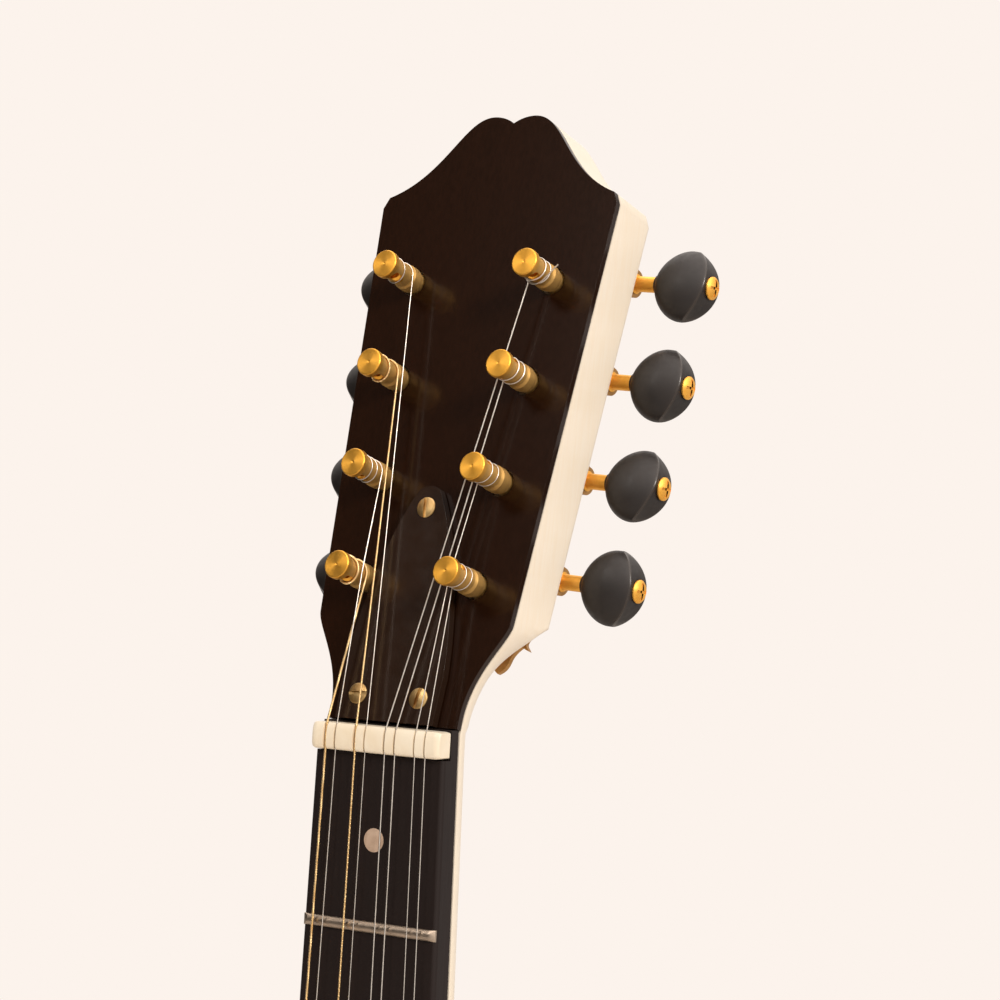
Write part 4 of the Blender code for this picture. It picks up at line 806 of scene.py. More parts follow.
board = {"edge": 1.1, "lastPast": 7.0, "endEase": (0.6, 0.5), "frets": 26, "fretHigh": 1.0, "fretWide": 2.5,
         "fretBevel": 1.5, "fretShort": 0.2, "tang": 1.2, "dotRadius": 2.6, "dotEdge": 0.15,
         "dots": (1, 3, 5, 7, 10, 12, 15, 17, 19, 22, 24), "doubleDots": (12, 24), "doubleHalf": 9.0}


def makeBoard():
    end, r = fretPlace(board["frets"]) - board["lastPast"], board["edge"]
    ease, narrow = board["endEase"]
    rings = []
    for place in (end, end + ease, joint, -180.0, 0.0, nut["thick"]):
        half = boardHalf(place) - (narrow if place == end else 0.0)
        right = [(half, -neck["boardThick"])] + arc(r, r, (half - r, -r), 8, 0, 90)
        rings.append([(x, place, z) for x, z in mirrored(right)])
    step = block("nutStep", (-2 * through, -fit, -nut["seat"] - fit), (2 * through, through, through),
                 frontPlane)
    item = cutBy(loft("fretboard_ebony", rings, frontPlane), [step])
    dressed(item, boardEbony, "fretboard", smoothDeg=40)


def makeFrets():
    # a fret of 1 mm half length whose ends slope in; each copy is as long as the board is wide
    base, wide, tang = neck["halfAtNut"], board["fretWide"] / 2, board["tang"]
    right = []
    for reach, share in ((0.0, 0.02), (0.5, 0.45), (board["fretBevel"], 1.0)):
        ring = arc(wide, board["fretHigh"] * share, steps=12) + [(-wide, -tang), (wide, -tang)]
        right.append((base - board["fretShort"] - reach, ring))
    left = [(-x, ring) for x, ring in right]
    shape = loft("fretShape", [[(x, y, z) for y, z in ring] for x, ring in left + right[::-1]])
    shape.data.transform(Matrix.Scale(1 / base, 4, (1, 0, 0)))
    places = [fretPlace(number) for number in range(1, board["frets"] + 1)]
    repeated("frets", shape, [frontPlane @ moved(0, place, 0) for place in places], nickelSilver,
             [boardHalf(place) for place in places])


def makeDots():
    r, spots = board["dotRadius"], []
    shape = lathe("dotShape", [(0, 0.05), (r - board["dotEdge"], 0.05), (r, 0.0), (r, -0.4), (0, -0.4)],
                  steps=40)
    for number in board["dots"]:
        middle = (fretPlace(number) + fretPlace(number - 1)) / 2
        double = number in board["doubleDots"]
        for x in (-board["doubleHalf"], board["doubleHalf"]) if double else (0.0,):
            spots.append(frontPlane @ moved(x, middle, 0))
    repeated("position_dots", shape, spots, pearlDot)


makeNut()
makeBoard()
makeFrets()
makeDots()
print("fretboard is ready")

# tuning machines
post = {"high": 12.3, "radius": 3.0, "cap": 3.2, "capThick": 1.8, "capEdge": 0.28, "waist": 2.6,
        "waistLow": 3.8, "base": 2.55, "holeRise": 9.0, "holeRadius": 1.0,
        "holeTurnDeg": (104, 92, 98, 118, 57, 66, 61, 118), "stub": 1.8, "slot": (0.35, 0.75)}
gear = {"teeth": 14, "pitchRadius": 5.5, "up": 0.45, "down": 1.1, "thick": 3.0, "edge": 0.1}
worm = {"pitchRadius": 2.3, "crest": 0.6, "down": 0.8, "half": 0.62, "flat": 0.12, "turns": 2.5, "lug": 7.4,
        "lugThick": 1.2, "shaft": 1.8, "collar": 2.8, "past": 1.8}
knob = {"start": 13.9, "length": 14.0, "long": 8.45, "short": 5.5, "dome": 7.7, "endRadius": 9.6,
        "rim": 0.635, "bore": 2.1, "turnDeg": (36, 30, 32, 27, 8, -8.5, -1, -4), "screw": 2.6,
        "recess": (1.9, 0.3, 0.45)}
gearTop, gearBack = -tuners["shaftDepth"] + gear["thick"] / 2, -tuners["shaftDepth"] - gear["thick"] / 2


def makePost(side, row, tag, holeTurnDeg):
    plane = tunerPlane(side, row)
    high, cap, edge, radius, waist = (post[key] for key in ("high", "cap", "capEdge", "radius", "waist"))
    capLow, low, base, stub = high - post["capThick"], post["waistLow"], post["base"], post["stub"]
    shoulder, screw = gearTop + fit, gearBack - fit
    profile = [(0, high - 0.22), (0.28, high - 0.02), (0.5, high)]
    profile += [(cap - edge + edge * math.sin(a), high - edge + edge * math.cos(a))
                for a in (0, 0.4, 0.8, 1.2, math.pi / 2)]
    profile += [(cap, capLow + 0.25), (cap - 0.08, capLow + 0.08), (cap - 0.25, capLow)]
    profile += [(waist + 0.25, capLow - 0.2), (waist + 0.05, capLow - 0.45), (waist, capLow - 0.8),
                (waist, low + 0.55), (waist + 0.08, low + 0.3)]
    profile += [(radius - 0.12, low - 0.1), (radius, low - 0.3), (radius, 1.5), (radius - 0.1, 1.0)]
    profile += [(base + 0.1, 0.55), (base, 0.3), (base, shoulder), (stub, shoulder), (stub, screw)]
    # the screw that holds the gear
    profile += [(2.8, screw), (2.75, screw - 0.35), (2.2, screw - 0.85), (1.2, screw - 1.12),
                (0, screw - 1.2)]
    r = post["holeRadius"]
    half = [(0, 6), (r + 3.1, 6), (r + 0.55, waist), (r, waist - 0.5)]
    along = plane @ moved(0, 0, post["holeRise"]) @ spun(holeTurnDeg) @ spun(90, "Y")
    bore = lathe("boreCut", half + [(x, -z) for x, z in reversed(half)], along, 24)
    wide, deep = post["slot"]
    slot = block("slotCut", (-4, -wide, screw - 3), (4, wide, screw - deep), plane)
    item = cutBy(lathe(f"post_{tag}", profile, plane), [bore, slot])
    dressed(item, goldTurned, f"string_post_{tag}", f"post_{tag}", 28)


def makeGear(side, row, tag):
    pitch = 2 * math.pi / gear["teeth"]
    tip, root = gear["pitchRadius"] + gear["up"], gear["pitchRadius"] - gear["down"]
    # half of a tooth: radius and share of the pitch
    flank = [(tip, 0.09), (tip - 0.1, 0.14), (root + 0.75, 0.24), (root + 0.06, 0.4)]
    tooth = [(root, -0.5)] + [(radius, -share) for radius, share in reversed(flank)] + flank
    outline = []
    for middle in [math.pi / 2 + (number + 0.5) * pitch for number in range(gear["teeth"])]:
        outline += [(radius * math.cos(middle + share * pitch), radius * math.sin(middle + share * pitch))
                    for radius, share in tooth]
    bore = ellipse(post["stub"] + 0.1, post["stub"] + 0.1, count=32)
    item = plate(f"gear_{tag}", [outline, bore], gearBack, gearTop, tunerPlane(side, row))
    item = bevelled(item, gear["edge"], 1, 50)
    dressed(item, brassCut, f"worm_gear_{tag}", f"post_{tag}", 30)


def makeShaft(side, row, tag):
    plane = shaftPlane(side, row)
    inner, outer = worm["lug"] - worm["lugThick"] / 2 - fit, worm["lug"] + worm["past"]
    start, end = knob["start"], knob["start"] + knob["length"] + fit
    deep, crest = worm["pitchRadius"] - worm["down"], worm["pitchRadius"] + worm["crest"]
    r, collar, root, wide = worm["shaft"], worm["collar"], deep + 0.3, knob["screw"]
    # the knob's screw, the shaft with a bead, the worm's core between its collars, the far end
    profile = [(0, end + 0.9), (0.9, end + 0.86), (1.7, end + 0.66), (2.3, end + 0.36), (wide, end + 0.05)]
    profile += [(wide, end - 0.25), (r, end - 0.25), (r, start + 0.2), (r, start - 0.4), (r, inner + 1.9)]
    profile += [(r + 0.5, inner + 1.7), (r, inner + 1.55), (r, inner + 0.05), (collar, inner)]
    profile += [(collar, inner - 0.6), (root, inner - 1.2), (root, -inner + 1.2), (collar, -inner + 0.6)]
    profile += [(collar, -inner), (r, -inner), (r, -outer + 0.3), (r - 0.3, -outer), (0, -outer)]
    long, half, low = knob["recess"]
    cuts = [block("recess", (-long, -half, end + low), (long, half, end + 3), plane @ spun(angleDeg))
            for angleDeg in (12, 102)]
    core = cutBy(lathe("shaftShape", profile, plane, 40), cuts)
    # the thread is one ridge that climbs round the core, laid on it
    lead = 2 * math.pi * gear["pitchRadius"] / gear["teeth"]
    steps, rings = 100, []
    for i in range(steps + 1):
        turn = (i / steps - 0.5) * worm["turns"] * 2 * math.pi
        angle, place = math.pi + turn, side * lead * turn / (2 * math.pi)
        ridge = deep + (crest - deep) * max(0.15, min(1.0, i / 8, (steps - i) / 8))
        rings.append([(reach * math.cos(angle), reach * math.sin(angle), place + way)
                      for reach, way in ((deep, -worm["half"]), (deep, worm["half"]),
                                         (ridge, worm["flat"]), (ridge, -worm["flat"]))])
    item = joined(f"worm_{tag}", [core, loft("thread", rings, plane)])
    dressed(item, goldShaft, f"worm_shaft_{tag}", f"key_{tag}", 30)


def makeKnob(side, row, tag, turnDeg):
    bore, start, end = knob["bore"], knob["start"], knob["start"] + knob["length"]
    domeTop, rimHalf = start + knob["dome"], knob["short"] * knob["rim"]
    circle = ellipse(1, 1, count=96)

    def ringAt(wide, thin, high):
        return [Vector((wide * c, thin * s, high)) for c, s in circle]

    def endAt(x):
        # the end face is part of a cylinder across the button
        return end - knob["endRadius"] + math.sqrt(knob["endRadius"] ** 2 - x * x)

    def wallAt(c, s, way):
        # the side between the dome and the rim, drawn in towards the rim
        x, y = knob["long"] * c, knob["short"] - (knob["short"] - rimHalf) * way ** 1.7
        return Vector((x, y * s, domeTop + (endAt(x) - domeTop) * way))

    def faceAt(c, s, way):
        # the end face, from the bore to the rim
        x, y = (bore + (knob["long"] - bore) * way) * c, (bore + (rimHalf - bore) * way) * s
        return Vector((x, y, endAt(x)))

    rings = [ringAt(bore, bore, start + 0.3)]
    for way in [(i / 30) ** 1.6 for i in range(1, 31)]:
        wide, thin = (max(half * (1 - (1 - way) ** power) ** (1 / power), bore + 0.2)
                      for half, power in ((knob["long"], 1.88), (knob["short"], 2.3)))
        rings.append(ringAt(wide, thin, start + way * knob["dome"]))
    rings += [[wallAt(c, s, way) for c, s in circle] for way in (0.1, 0.22, 0.35, 0.48, 0.6, 0.72, 0.82)]
    # a rounded crease, which fingers rub; its mark makes it glossier and paints a paler highlight colour
    # along it
    rubbed = [0.0] * len(rings) + [0.2, 0.6, 1.0, 1.0, 0.6, 0.2]
    rings += [[wallAt(c, s, 0.93) * (1 - t) ** 2 + wallAt(c, s, 1) * 2 * t * (1 - t)
               + faceAt(c, s, 0.86) * t * t for c, s in circle] for t in (0.0, 0.2, 0.4, 0.6, 0.8, 1.0)]
    rings += [[faceAt(c, s, way) for c, s in circle] for way in (0.7, 0.55, 0.4, 0.25, 0.1)]
    rings.append(ringAt(bore, bore, end - 0.5))
    rubbed += [0.0] * (len(rings) - len(rubbed))
    item = loft(f"key_{tag}_button", rings, shaftPlane(side, row) @ spun(turnDeg), True,
                (("rubbed", "FLOAT", [value for value in rubbed for point in circle]),))
    dressed(item, knobAcetate, f"knob_{tag}", f"key_{tag}", 40)


machinePlate = {"thick": 1.2, "half": 8.0, "end": 10.9, "topEnd": 6.5, "edge": 0.22, "lugHalf": 3.2,
                "lugBore": 1.95, "lugEdge": 0.15, "screws": (-8.4, 14.2, 37.8, 61.5, 84.2),
                "screw": {"radius": 1.6, "high": 0.8, "slot": 0.4}}


def makePlate(side, label):
    plane = tunerPlane(side, 0)
    face = -head["thick"] - fit
    back, deep = face - machinePlate["thick"], tuners["shaftDepth"]
    low = -machinePlate["end"]
    high = (tuners["rows"] - 1) * tuners["pitch"] + tuners["shaftOffset"] + machinePlate["topEnd"]
    # one end's right half: a thin spur, a notch, then a leaf with a tip
    leaf = outlined((machinePlate["half"], -7.2), ((machinePlate["half"], -5.6), (5.8, -4.6), (5.5, -2.9), 8),
                    ((5.6, -2.2), (6.2, -1.9), (6.75, -1.2), 5), ((6.2, -1.3), (5.3, -1.6), (4.7, -2.0), 5),
                    ((4.0, -1.5), (2.9, -0.3), (2.5, 1.0), 8), ((2.2, 2.0), (2.2, 3.6), (0.0, 4.8), 10))
    outline = mirrored([(x, high + y) for x, y in leaf])
    outline += reversed(mirrored([(x, low - y) for x, y in leaf]))
    bores = [ellipse(tuners["bore"], tuners["bore"], (0, row * tuners["pitch"]), 32)
             for row in range(tuners["rows"])]
    pieces = [bevelled(plate("sheet", [outline] + bores, back, face, plane), machinePlate["edge"])]
    # each lug stands on edge: its outline lies along the row and the depth
    r, bore, half = machinePlate["lugHalf"], machinePlate["lugBore"], worm["lugThick"] / 2
    foot = [(r + 0.9, back + 0.5), (r + 0.25, back - 0.8)]
    lug = foot + arc(r, -r, (0, -deep), 20) + [(-x, y) for x, y in reversed(foot)]
    onEdge = Matrix(((0, 0, 1, 0), (1, 0, 0, 0), (0, 1, 0, 0), (0, 0, 0, 1)))
    for row in range(tuners["rows"]):
        for reach in (-worm["lug"], worm["lug"]):
            upright = plane @ moved(side * reach, row * tuners["pitch"] + tuners["shaftOffset"], 0) @ onEdge
            ear = plate("lug", [lug, ellipse(bore, bore, (0, -deep), 24)], -half, half, upright)
            pieces.append(bevelled(ear, machinePlate["lugEdge"]))
    dressed(joined(f"tuner_plate_{label}_sheet", pieces), goldStamped, f"tuner_plate_{label}",
            smoothDeg=30)
    spots = [plane @ moved(0, y, back + 0.1) @ spun(180, "X") @ spun(37 * i + 20)
             for i, y in enumerate(machinePlate["screws"])]
    repeated(f"plate_screws_{label}", slottedScrew(**machinePlate["screw"]), spots, goldStamped)


for index, (side, row, tag) in enumerate(machines):
    if row == 0:
        makePlate(side, dict(sides)[side])
    makePost(side, row, tag, post["holeTurnDeg"][index])
    makeGear(side, row, tag)
    makeShaft(side, row, tag)
    makeKnob(side, row, tag, knob["turnDeg"][index])
print("tuning machines are ready")

# soundbox
rose = {"wide": 42.0, "tall": 29.0, "above": 103.0, "rings": ((1.6, 2.2), (4.9, 5.5)), "lozenges": 72,
        "lozengeOut": 3.55, "lozenge": (1.5, 0.9), "sunk": 0.2, "proud": 0.06}
guard = {"thick": 0.8, "wide": 64.0, "tall": 42.0, "drop": 15.0, "margin": 6.0, "cutBelow": 2.0,
         "cutAbove": 4.0}
bridge = {"half": 57.0, "topHalf": 33.0, "high": 8.2, "foot": 2.6, "wide": 10.0, "footLength": 22.0,
          "wing": 9.0, "saddleHalf": 29.0, "saddleThick": 2.8, "saddleSeat": 1.6, "saddleRise": 2.8}
tailpiece = {"half": 23.0, "sheet": 1.2, "reach": 36.0, "leg": 30.0, "level": 2.4, "lift": 2.8, "pin": 0.9,
             "pinRise": 3.2, "pinInset": 2.5, "windows": (-14.0, 0.0, 14.0), "window": (4.6, 8.0),
             "cutReach": 9.0}
button = {"belowRim": 12.0, "pin": 2.5, "pinBore": 2.8, "pinLength": 20.0, "radius": 7.5, "waist": 4.5,
          "length": 12.0, "cutReach": (-24.0, 6.0)}
holeCentre = (0, -neck["scale"] + rose["above"])
bridgeTop = neckTop + fit + bridge["high"]
pinPlace = (tail + tailpiece["reach"] - 2.0, neckTop + tailpiece["level"] + tailpiece["lift"])
buttonPlane = frontPlane @ moved(0, tail, rim - button["belowRim"]) @ spun(90, "X")


def bodyRows(inset, upper, lower):
    # (half width, place) down the body's right side, moved in by inset
    length, swell = joint - widest, body["half"] - neckHalf(joint)
    rows = [(neckHalf(joint) - inset * math.hypot(length, swell * math.pi / 2) / length, joint)]
    for u in [i / upper for i in range(1, upper)]:
        slope = swell * math.pi / 2 * math.cos(u * math.pi / 2)
        norm = math.hypot(length, slope)
        half = neckHalf(joint) + swell * math.sin(u * math.pi / 2)
        rows.append((half - inset * length / norm, joint - u * length - inset * slope / norm))
    rows += arc(body["half"] - inset, -(body["half"] - inset), (0, widest), lower, 0, 90)[:-1]
    return rows + [(0.0, widest - (body["half"] - inset))]


def pinCut():
    hole = ellipse(button["pinBore"], button["pinBore"], count=24)
    return plate("pinCut", [hole], *button["cutReach"], buttonPlane)


def makeBowl():
    rows = bodyRows(0.0, 60, 60)
    rows[-1] = (0.4, rows[-1][1])
    guide = addCurve("bowlOutline", [[(x * mm, y * mm, 0) for x, y in rows]])
    values = {"Outline": guide, "Staves": body["staves"], "Across": 8, "Along": 121,
              "Depth Ratio": body["depth"] / body["half"], "Rim": rim * mm, "Crown": body["crown"] * mm,
              "Finish": stavedMaple}
    item = cleaned(growNodes(addMesh("bowl_staves", [(0, 0, 0)], []), bowlNodes, values), 1e-5)
    bpy.data.objects.remove(guide)
    # the open shell's outside looks away from the box's middle
    middle = Vector((0, -rim * mm + 0.03, widest * mm))
    if sum(math.copysign(1, face.normal.dot(face.center - middle)) for face in item.data.polygons) < 0:
        item.data.flip_normals()
    wall = item.modifiers.new("wall", "SOLIDIFY")
    wall.thickness, wall.offset, wall.use_even_offset = body["wall"] * mm, -1, False
    dressed(cutBy(settled(item), [pinCut()]), stavedMaple, "bowl", smoothDeg=40)


def holeLine(out):
    # the sound hole's outline, this much wider all round
    return ellipse(rose["wide"] + out, rose["tall"] + out, holeCentre, 120)


def makeTop():
    low, high = neckTop - body["top"], neckTop
    outer, inner = mirrored(bodyRows(0.0, 40, 48)), mirrored(bodyRows(body["binding"], 40, 48))
    outline = mirrored(bodyRows(body["binding"] + body["bindingGap"], 40, 48))
    item = plate("soundboard_spruce", [outline, holeLine(0)], low, high, frontPlane)
    dressed(bevelled(item, 0.25, 2, 50), spruceTop, "soundboard")
    strip = plate("binding_strip", [outer + inner[::-1]], low, high, frontPlane)
    dressed(bevelled(strip, 0.3, 2, 50), ebonisedWood, "edge_binding")
    # rosette: two thin dark rings with a band of small pearl lozenges between them
    lines = [plate("ring", [holeLine(wide), holeLine(narrow)], high - rose["sunk"], high + rose["proud"],
                   frontPlane) for narrow, wide in rose["rings"]]
    dressed(joined("rosette_rings", lines), ebonisedWood)
    (long, short), spots = rose["lozenge"], []
    shape = plate("lozenge", [[(long, 0), (0, short), (-long, 0), (0, -short)]], -0.2, 0.07, unmoved)
    wide, tall = rose["wide"] + rose["lozengeOut"], rose["tall"] + rose["lozengeOut"]
    for i in range(rose["lozenges"]):
        a = 2 * math.pi * (i + 0.5) / rose["lozenges"]
        along = math.degrees(math.atan2(tall * math.cos(a), -wide * math.sin(a)))
        place = moved(wide * math.cos(a), holeCentre[1] + tall * math.sin(a), high)
        spots.append(frontPlane @ place @ spun(along))
    repeated("rosette_inlay", shape, spots, pearlDot)


def makeGuard():
    low, hole = neckTop + fit, holeLine(guard["margin"])
    outer = ellipse(guard["wide"], guard["tall"], (0, holeCentre[1] - guard["drop"]), 120)
    sheet = plate("guard_sheet", [outer], low, low + guard["thick"], frontPlane)
    cut = plate("holeCut", [hole], low - guard["cutBelow"], low + guard["cutAbove"], frontPlane)
    item = cutBy(sheet, [cut])
    dressed(bevelled(item, 0.3, 3), guardAcetate, "pickguard")


def makeBridge():
    low, half, crest = neckTop + fit, bridge["half"], bridge["topHalf"]
    foot, wing, inner = low + bridge["foot"], crest + bridge["wing"], half - bridge["footLength"]
    right = outlined((inner, low), (half, low), (half, foot - 0.6),
                     ((half, foot), (half - 0.6, foot), (half - 1.6, foot), 6),
                     ((wing + 6, foot + 0.2), (wing, foot + 1.0), (wing - 3.0, foot + 2.4), 12),
                     ((wing - 6, foot + 4.0), (crest + 2, bridgeTop), (crest, bridgeTop), 10))
    # the underside is arched between the two feet
    outline = mirrored(right) + [(3.0 - inner, low + 1.0), (inner - 3.0, low + 1.0)]
    item = loft("bridge_rosewood", [[(x, y - neck["scale"], z) for x, z in outline]
                                    for y in (-bridge["wide"] / 2, bridge["wide"] / 2)], frontPlane)

    def saddleBlock(name, play, bottom, top):
        half, thick = bridge["saddleHalf"] + play, bridge["saddleThick"] / 2 + play
        return block(name, (-half, -neck["scale"] - thick, bottom), (half, -neck["scale"] + thick, top),
                     frontPlane)

    seat = saddleBlock("seatCut", 0.1, bridgeTop - bridge["saddleSeat"] - 0.2, bridgeTop + through)
    dressed(bevelled(cutBy(item, [seat]), 0.6, 3, 50), rosewoodWax, "bridge")
    saddle = saddleBlock("saddle_bone", 0.0, bridgeTop - bridge["saddleSeat"],
                         bridgeTop + bridge["saddleRise"])
    dressed(bevelled(saddle, 0.9, 4), boneCream, "saddle", smoothDeg=40)


def legLine(depth):
    # the place of the tail's middle stave, this deep below the rim
    step = math.pi / 2 / 7
    return tail + body["half"] * (1 - math.cos(step)) * depth / (body["depth"] * math.sin(step))


def pinX(index):
    return (index - 3.5) * 2 * (tailpiece["half"] - tailpiece["pinInset"]) / 7


def makeTailpiece():
    sheet, level = tailpiece["sheet"], neckTop + tailpiece["level"]
    out = fit + sheet / 2 + 0.1
    edge = tail - out
    path = outlined((legLine(tailpiece["leg"]) - out, rim - tailpiece["leg"]),
                    (legLine(tailpiece["leg"] / 2) - out, rim - tailpiece["leg"] / 2), (edge, rim),
                    (edge + 0.05, neckTop + 0.2),
                    ((edge + 0.1, neckTop + 1.4), (edge + 1.0, neckTop + 2.2), (edge + 3.4, level), 8),
                    (tail + tailpiece["reach"], level + tailpiece["lift"]))
    front, behind = [], []
    for i, point in enumerate(path):
        along = (Vector(path[min(i + 1, len(path) - 1)]) - Vector(path[max(i - 1, 0)])).normalized()
        normal = Vector((-along.y, along.x)) * sheet / 2
        front.append(Vector(point) + normal)
        behind.append(Vector(point) - normal)
    rings = [[(x, y, z) for y, z in front + behind[::-1]] for x in (-tailpiece["half"], tailpiece["half"])]
    cuts = [pinCut()]
    for x in tailpiece["windows"]:
        window = ellipse(*tailpiece["window"], (x, tail + 16.0), 40)
        cuts.append(plate("windowCut", [window], neckTop, neckTop + tailpiece["cutReach"], frontPlane))
    item = bevelled(cutBy(loft("tailpiece_sheet", rings, frontPlane), cuts), 0.25)
    dressed(item, nickelPlate, "tailpiece")
    r, high = tailpiece["pin"], tailpiece["pinRise"]
    shape = lathe("pinShape", [(0, high), (r - 0.1, high - 0.03), (r + 0.35, high - 0.25),
                               (r + 0.35, high - 0.5), (r, high - 0.75), (r, -0.4), (0, -0.4)], steps=24)
    spots = [frontPlane @ moved(pinX(i), *pinPlace) for i in range(8)]
    repeated("tail_pins", shape, spots, nickelPlate)


def makeButton():
    big, waist, pin = button["radius"], button["waist"], button["pin"]
    seat = 1.4 + big * 0.02
    end, tip = seat + button["length"], seat - button["pinLength"]
    profile = outlined((0, end), (big - 2.5, end),
                       ((big - 1.0, end - 0.05), (big, end - 0.6), (big, end - 1.6), 8),
                       ((big, end - 4.4), (waist, end - 3.6), (waist, end - 6.2), 12),
                       ((waist, seat + 2.2), (waist + 0.4, seat + 1.2), (big - 1.5, seat + 0.8), 8),
                       (big - 1.5, seat), (pin, seat), (pin, tip + 2), (0, tip))
    dressed(lathe("strap_button_turned", profile, buttonPlane), ebonisedWood, "strap_button")


makeBowl()
makeTop()
makeGuard()
makeBridge()
makeTailpiece()
makeButton()
print("soundbox is ready")


# strings
def machineOf(index):
    # the side and row of the post that a string winds on
    return (-1, index) if index < 4 else (1, 7 - index)


def stringRoute(index):
    # points from a string's pin to the end of its winding, in metres in the world
    side, row = machineOf(index)
    half, low, high = strings["diameters"][index] / 2, strings["start"], post["holeRise"]
    radius = post["waist"] + strings["play"] + half
    y, z = pinPlace
    loop = arc(tailpiece["pin"] + 0.1 + half, tailpiece["pin"] + 0.1 + half, (pinX(index), y), 19, -90, 290)
    route = placed(frontPlane, [(*point, z + tailpiece["pinRise"] - 1.3 + 0.5 * i / 19)
                                for i, point in enumerate(loop)])
    x, rise = stringX(index, "Nut"), strings["riseAtNut"]
    saddleTop = bridgeTop + bridge["saddleRise"]
    route += placed(frontPlane, [(stringX(index, "Saddle"), -neck["scale"], saddleTop + half), (x, 0.0, rise),
                                 (x, nut["thick"] * 0.45, rise), (x, nut["thick"] - fit, rise - 0.12)])
    leave = onHead(route[-1])
    if row == 1:
        # the second post's string passes the first post on its outer side
        below = postSpot(side, 0)
        leave = Vector((below.x - side * (post["waist"] + fit + half), below.y))
        climb = (high - low) / strings["leastTurns"][0 if side < 0 else 7]
        route += placed(headPlane, [(*leave, low + climb / 2)])
    spot = postSpot(side, row)
    toward = spot - leave
    firstAngle = math.atan2(toward.y, toward.x) + side * (math.asin(radius / toward.length) + math.pi / 2)
    # the winding climbs to the post's hole and ends in it
    holeDeg = post["holeTurnDeg"][row if side < 0 else row + 4] - side * tuners["rowLeanDeg"]
    least = strings["leastTurns"][index] * 2 * math.pi
    whole = least + (side * (firstAngle - math.radians(holeDeg)) - least) % math.pi
    steps = int(strings["loopPoints"] * whole / (2 * math.pi))
    ways = [(whole * i / steps, radius) for i in range(steps - 1)]
    ways += [(whole - 0.14, radius * 0.99), (whole - 0.04, radius * 0.93), (whole, radius * 0.8),
             (whole, 0.4)]
    for way, reach in ways:
        angle = firstAngle - side * way
        route += placed(headPlane, [(spot.x + reach * math.cos(angle), spot.y + reach * math.sin(angle),
                                     low + (high - low) * way / whole)])
    return route


def tailRoute(index):
    # the free end that sticks out of a winding: round the post's lower side, then straight to its tip
    x, y, high = strings["tails"][index]
    spot = postSpot(*machineOf(index))
    radius = post["waist"] + strings["play"] + strings["diameters"][index] * 1.5
    way = Vector((x, y)) - spot
    leaveDeg = math.degrees(math.atan2(way.y, way.x) - math.acos(radius / way.length))
    bend = arc(radius, radius, spot, 8, leaveDeg - math.degrees(1.6), leaveDeg)
    return placed(headPlane, [(*point, 6.4 + 0.05 * i) for i, point in enumerate(bend)] + [(x, y, high)])


def makeString(index):
    course, second = divmod(index, 2)
    name = f"string_course_{4 - course}_{'ab'[second]}"
    wound, wire = index in strings["wound"], strings["wrapWire"]
    finish, slot = (stringBronze, "wound_bronze") if wound else (stringSteel, "plain_steel")
    radius = strings["diameters"][index] / 2 - (1.1 * wire if wound else 0)
    lines = [stringRoute(index)] + ([tailRoute(index)] if index in strings["tails"] else [])
    values = {"Radius": radius * mm, "Wire": wire * mm, "Pitch": strings["wrapPitch"] * mm, "Wound": wound,
              "Finish": finish}
    item = growNodes(addCurve("wire_" + name, lines), stringNodes, values)
    dressed(item, finish, name, smoothDeg=60, flatFaces=False)


for index in range(8):
    makeString(index)
print("strings are ready")

# inner pieces keep their solids and get raw finishes
for name, finish in (("neck_block", rawSpruce), ("tail_block", rawSpruce), ("brace_upper", rawSpruce),
                     ("brace_lower", rawSpruce), ("truss_rod", rodSteel)):
    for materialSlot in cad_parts[name].material_slots:
        materialSlot.material = finish

# camera, floor, lamps and surroundings
view = {"lens": 104.16, "place": (364.653, -512.626, 41.727),
        "rows": ((0.8351, 0.54724, 0.05596), (0.03399, 0.05019, -0.99816), (-0.54904, 0.83547, 0.02331))}
studio = {"background": "#FCF3EC", "floor": "#F5ECE4", "floorRadius": 2.6, "floorFade": (1.2, 2.5),
          "fillLow": 0.34, "fillHigh": 0.68, "fromFloor": "#FFEBD2", "fromWalls": "#FFFBF6",
          "darkSide": (-0.79, -0.60, 0.12), "doorway": (0.38, 0.84), "darkGloss": 0.015, "gloss": 1.0,
          "aboveGloss": 3.2, "behindGloss": 0.75, "lamp": "#FFF8F0", "lookAt": (0.0, 0.02, 0.07),
          "lamps": (("key", (-0.66, -1.72, 1.25), 0.4, 10.8), ("right", (1.6, -0.8, 1.0), 0.5, 24.0))}


def makeCamera():
    data = bpy.data.cameras.new("camera")
    data.lens, data.sensor_width, data.clip_start, data.clip_end = view["lens"], 36, 0.01, 50
    turn = Matrix(view["rows"]).transposed() @ Matrix(((1, 0, 0), (0, -1, 0), (0, 0, -1)))
    bpy.context.scene.camera = linked("camera", data, moved(*view["place"]) @ turn.to_4x4())


def makeFloor():
    radius, low = studio["floorRadius"] / mm, (cadBox[0].z - 0.0005) / mm
    item = addMesh("floor", [(x, y, low) for x, y in ellipse(radius, radius, count=96)], [tuple(range(96))])
    made, tree, shader = newFinish("paleStudioFloor", studio["floor"], 0.8, Specular_IOR_Level=0.1)
    # the floor fades into the surroundings towards its edge
    where = addNode(tree, "ShaderNodeTexCoord").outputs["Object"]
    level = addNode(tree, "ShaderNodeVectorMath", {0: where, 1: (1, 1, 0)}, operation="MULTIPLY")
    far = addNode(tree, "ShaderNodeVectorMath", {0: level}, operation="LENGTH").outputs["Value"]
    near, edge = studio["floorFade"]
    fade = addNode(tree, "ShaderNodeMapRange", {"Value": far, "From Min": near, "From Max": edge})
    clear = addNode(tree, "ShaderNodeBsdfTransparent")
    feed(tree.nodes["Material Output"],
         {"Surface": addNode(tree, "ShaderNodeMixShader", {0: fade, 1: shader, 2: clear})})
    item.data.materials.append(made)


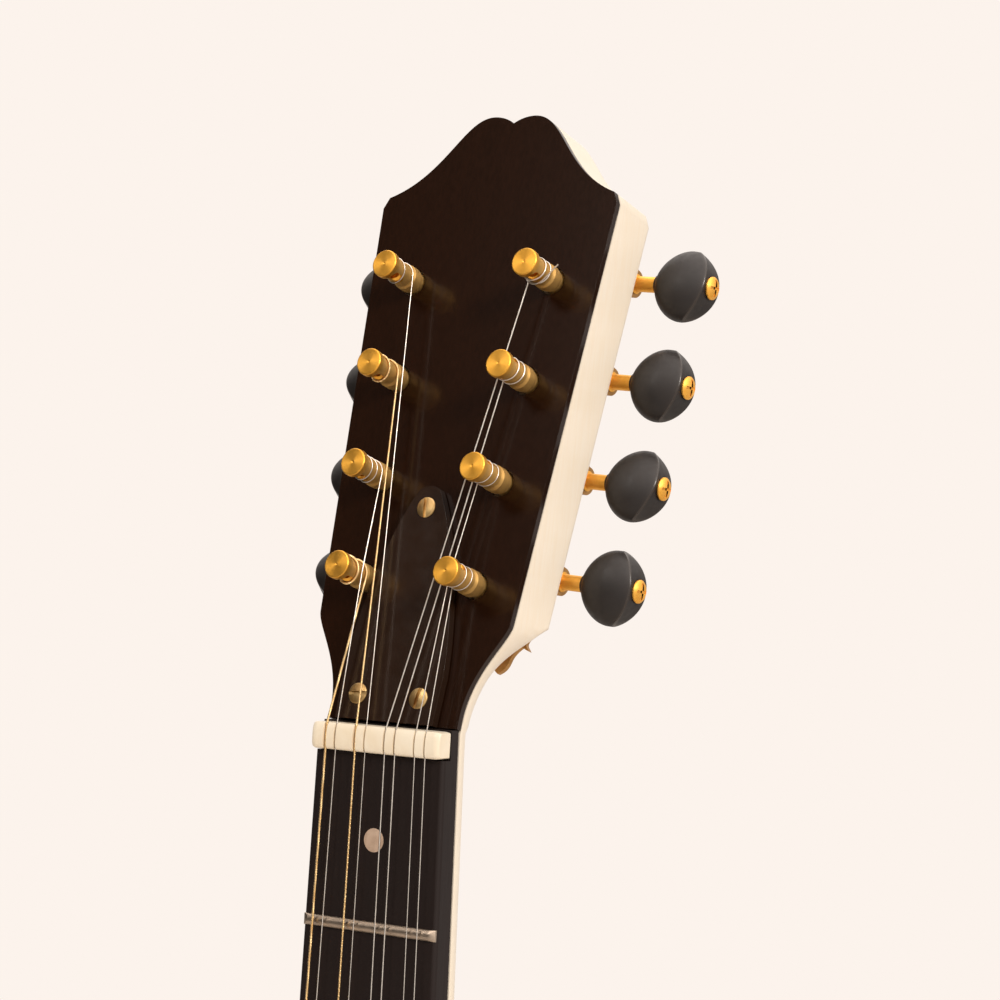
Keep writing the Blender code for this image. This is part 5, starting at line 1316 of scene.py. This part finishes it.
def makeSurroundings():
    world = bpy.data.worlds.new("studio")
    bpy.context.scene.world = world
    world.use_nodes = True
    tree = world.node_tree
    tree.nodes.clear()
    ray = addNode(tree, "ShaderNodeLightPath").outputs
    way = addNode(tree, "ShaderNodeTexCoord").outputs["Generated"]
    ahead = addNode(tree, "ShaderNodeSeparateXYZ", {0: way}).outputs
    door = addNode(tree, "ShaderNodeVectorMath", {0: way, 1: studio["darkSide"]},
                   operation="DOT_PRODUCT").outputs["Value"]
    # the fill is weaker and warmer from below, off the floor; mirrors see pale walls, brighter above and
    # dimmer behind, but a dark doorway beside the camera on the left
    ranges = [(ahead[2], -1.0, 1.0, studio["fillLow"], studio["fillHigh"], "LINEAR"),
              (ahead[2], -0.6, 0.4, 0.0, 1.0, "LINEAR"),
              (door, *studio["doorway"], 1.0, 0.0, "SMOOTHSTEP"),
              (ahead[1], 0.0, 0.6, 1.0, studio["behindGloss"], "LINEAR"),
              (ahead[2], 0.3, 0.8, studio["gloss"], studio["aboveGloss"], "LINEAR")]
    level, warmth, room, behind, above = (
        addNode(tree, "ShaderNodeMapRange", {"Value": value, "From Min": first, "From Max": last,
                                             "To Min": low, "To Max": high}, interpolation_type=kind)
        for value, first, last, low, high, kind in ranges)
    shade = layered(tree, linear(studio["fromFloor"]), (warmth, linear(studio["fromWalls"])))
    fill = addNode(tree, "ShaderNodeBackground", {"Color": shade, "Strength": level})
    walls = addNode(tree, "ShaderNodeMath", {0: above, 1: behind}, operation="MULTIPLY")
    gloss = addNode(tree, "ShaderNodeMath", {0: room, 1: walls, 2: studio["darkGloss"]},
                    operation="MULTIPLY_ADD")
    pale = linear(studio["background"])
    mirror = addNode(tree, "ShaderNodeBackground", {"Color": pale, "Strength": gloss})
    seen = addNode(tree, "ShaderNodeBackground", {"Color": pale, "Strength": 1.0})
    sharp = addNode(tree, "ShaderNodeMath", {0: ray["Is Glossy Ray"], 1: ray["Is Transmission Ray"]},
                    operation="MAXIMUM")
    unseen = addNode(tree, "ShaderNodeMixShader", {0: sharp, 1: fill, 2: mirror})
    addNode(tree, "ShaderNodeOutputWorld",
            {0: addNode(tree, "ShaderNodeMixShader", {0: ray["Is Camera Ray"], 1: unseen, 2: seen})})


def makeLamps():
    for name, place, size, power in studio["lamps"]:
        data = bpy.data.lights.new(name, "AREA")
        data.shape, data.size, data.energy = "SQUARE", size, power
        data.color = linear(studio["lamp"])[:3]
        item = linked(name, data)
        item.location = place
        item.rotation_mode = "QUATERNION"
        item.rotation_quaternion = (Vector(studio["lookAt"]) - Vector(place)).to_track_quat("-Z", "Y")


makeCamera()
makeFloor()
makeSurroundings()
makeLamps()
bpy.context.scene.view_settings.view_transform = "Standard"
print("studio is ready")
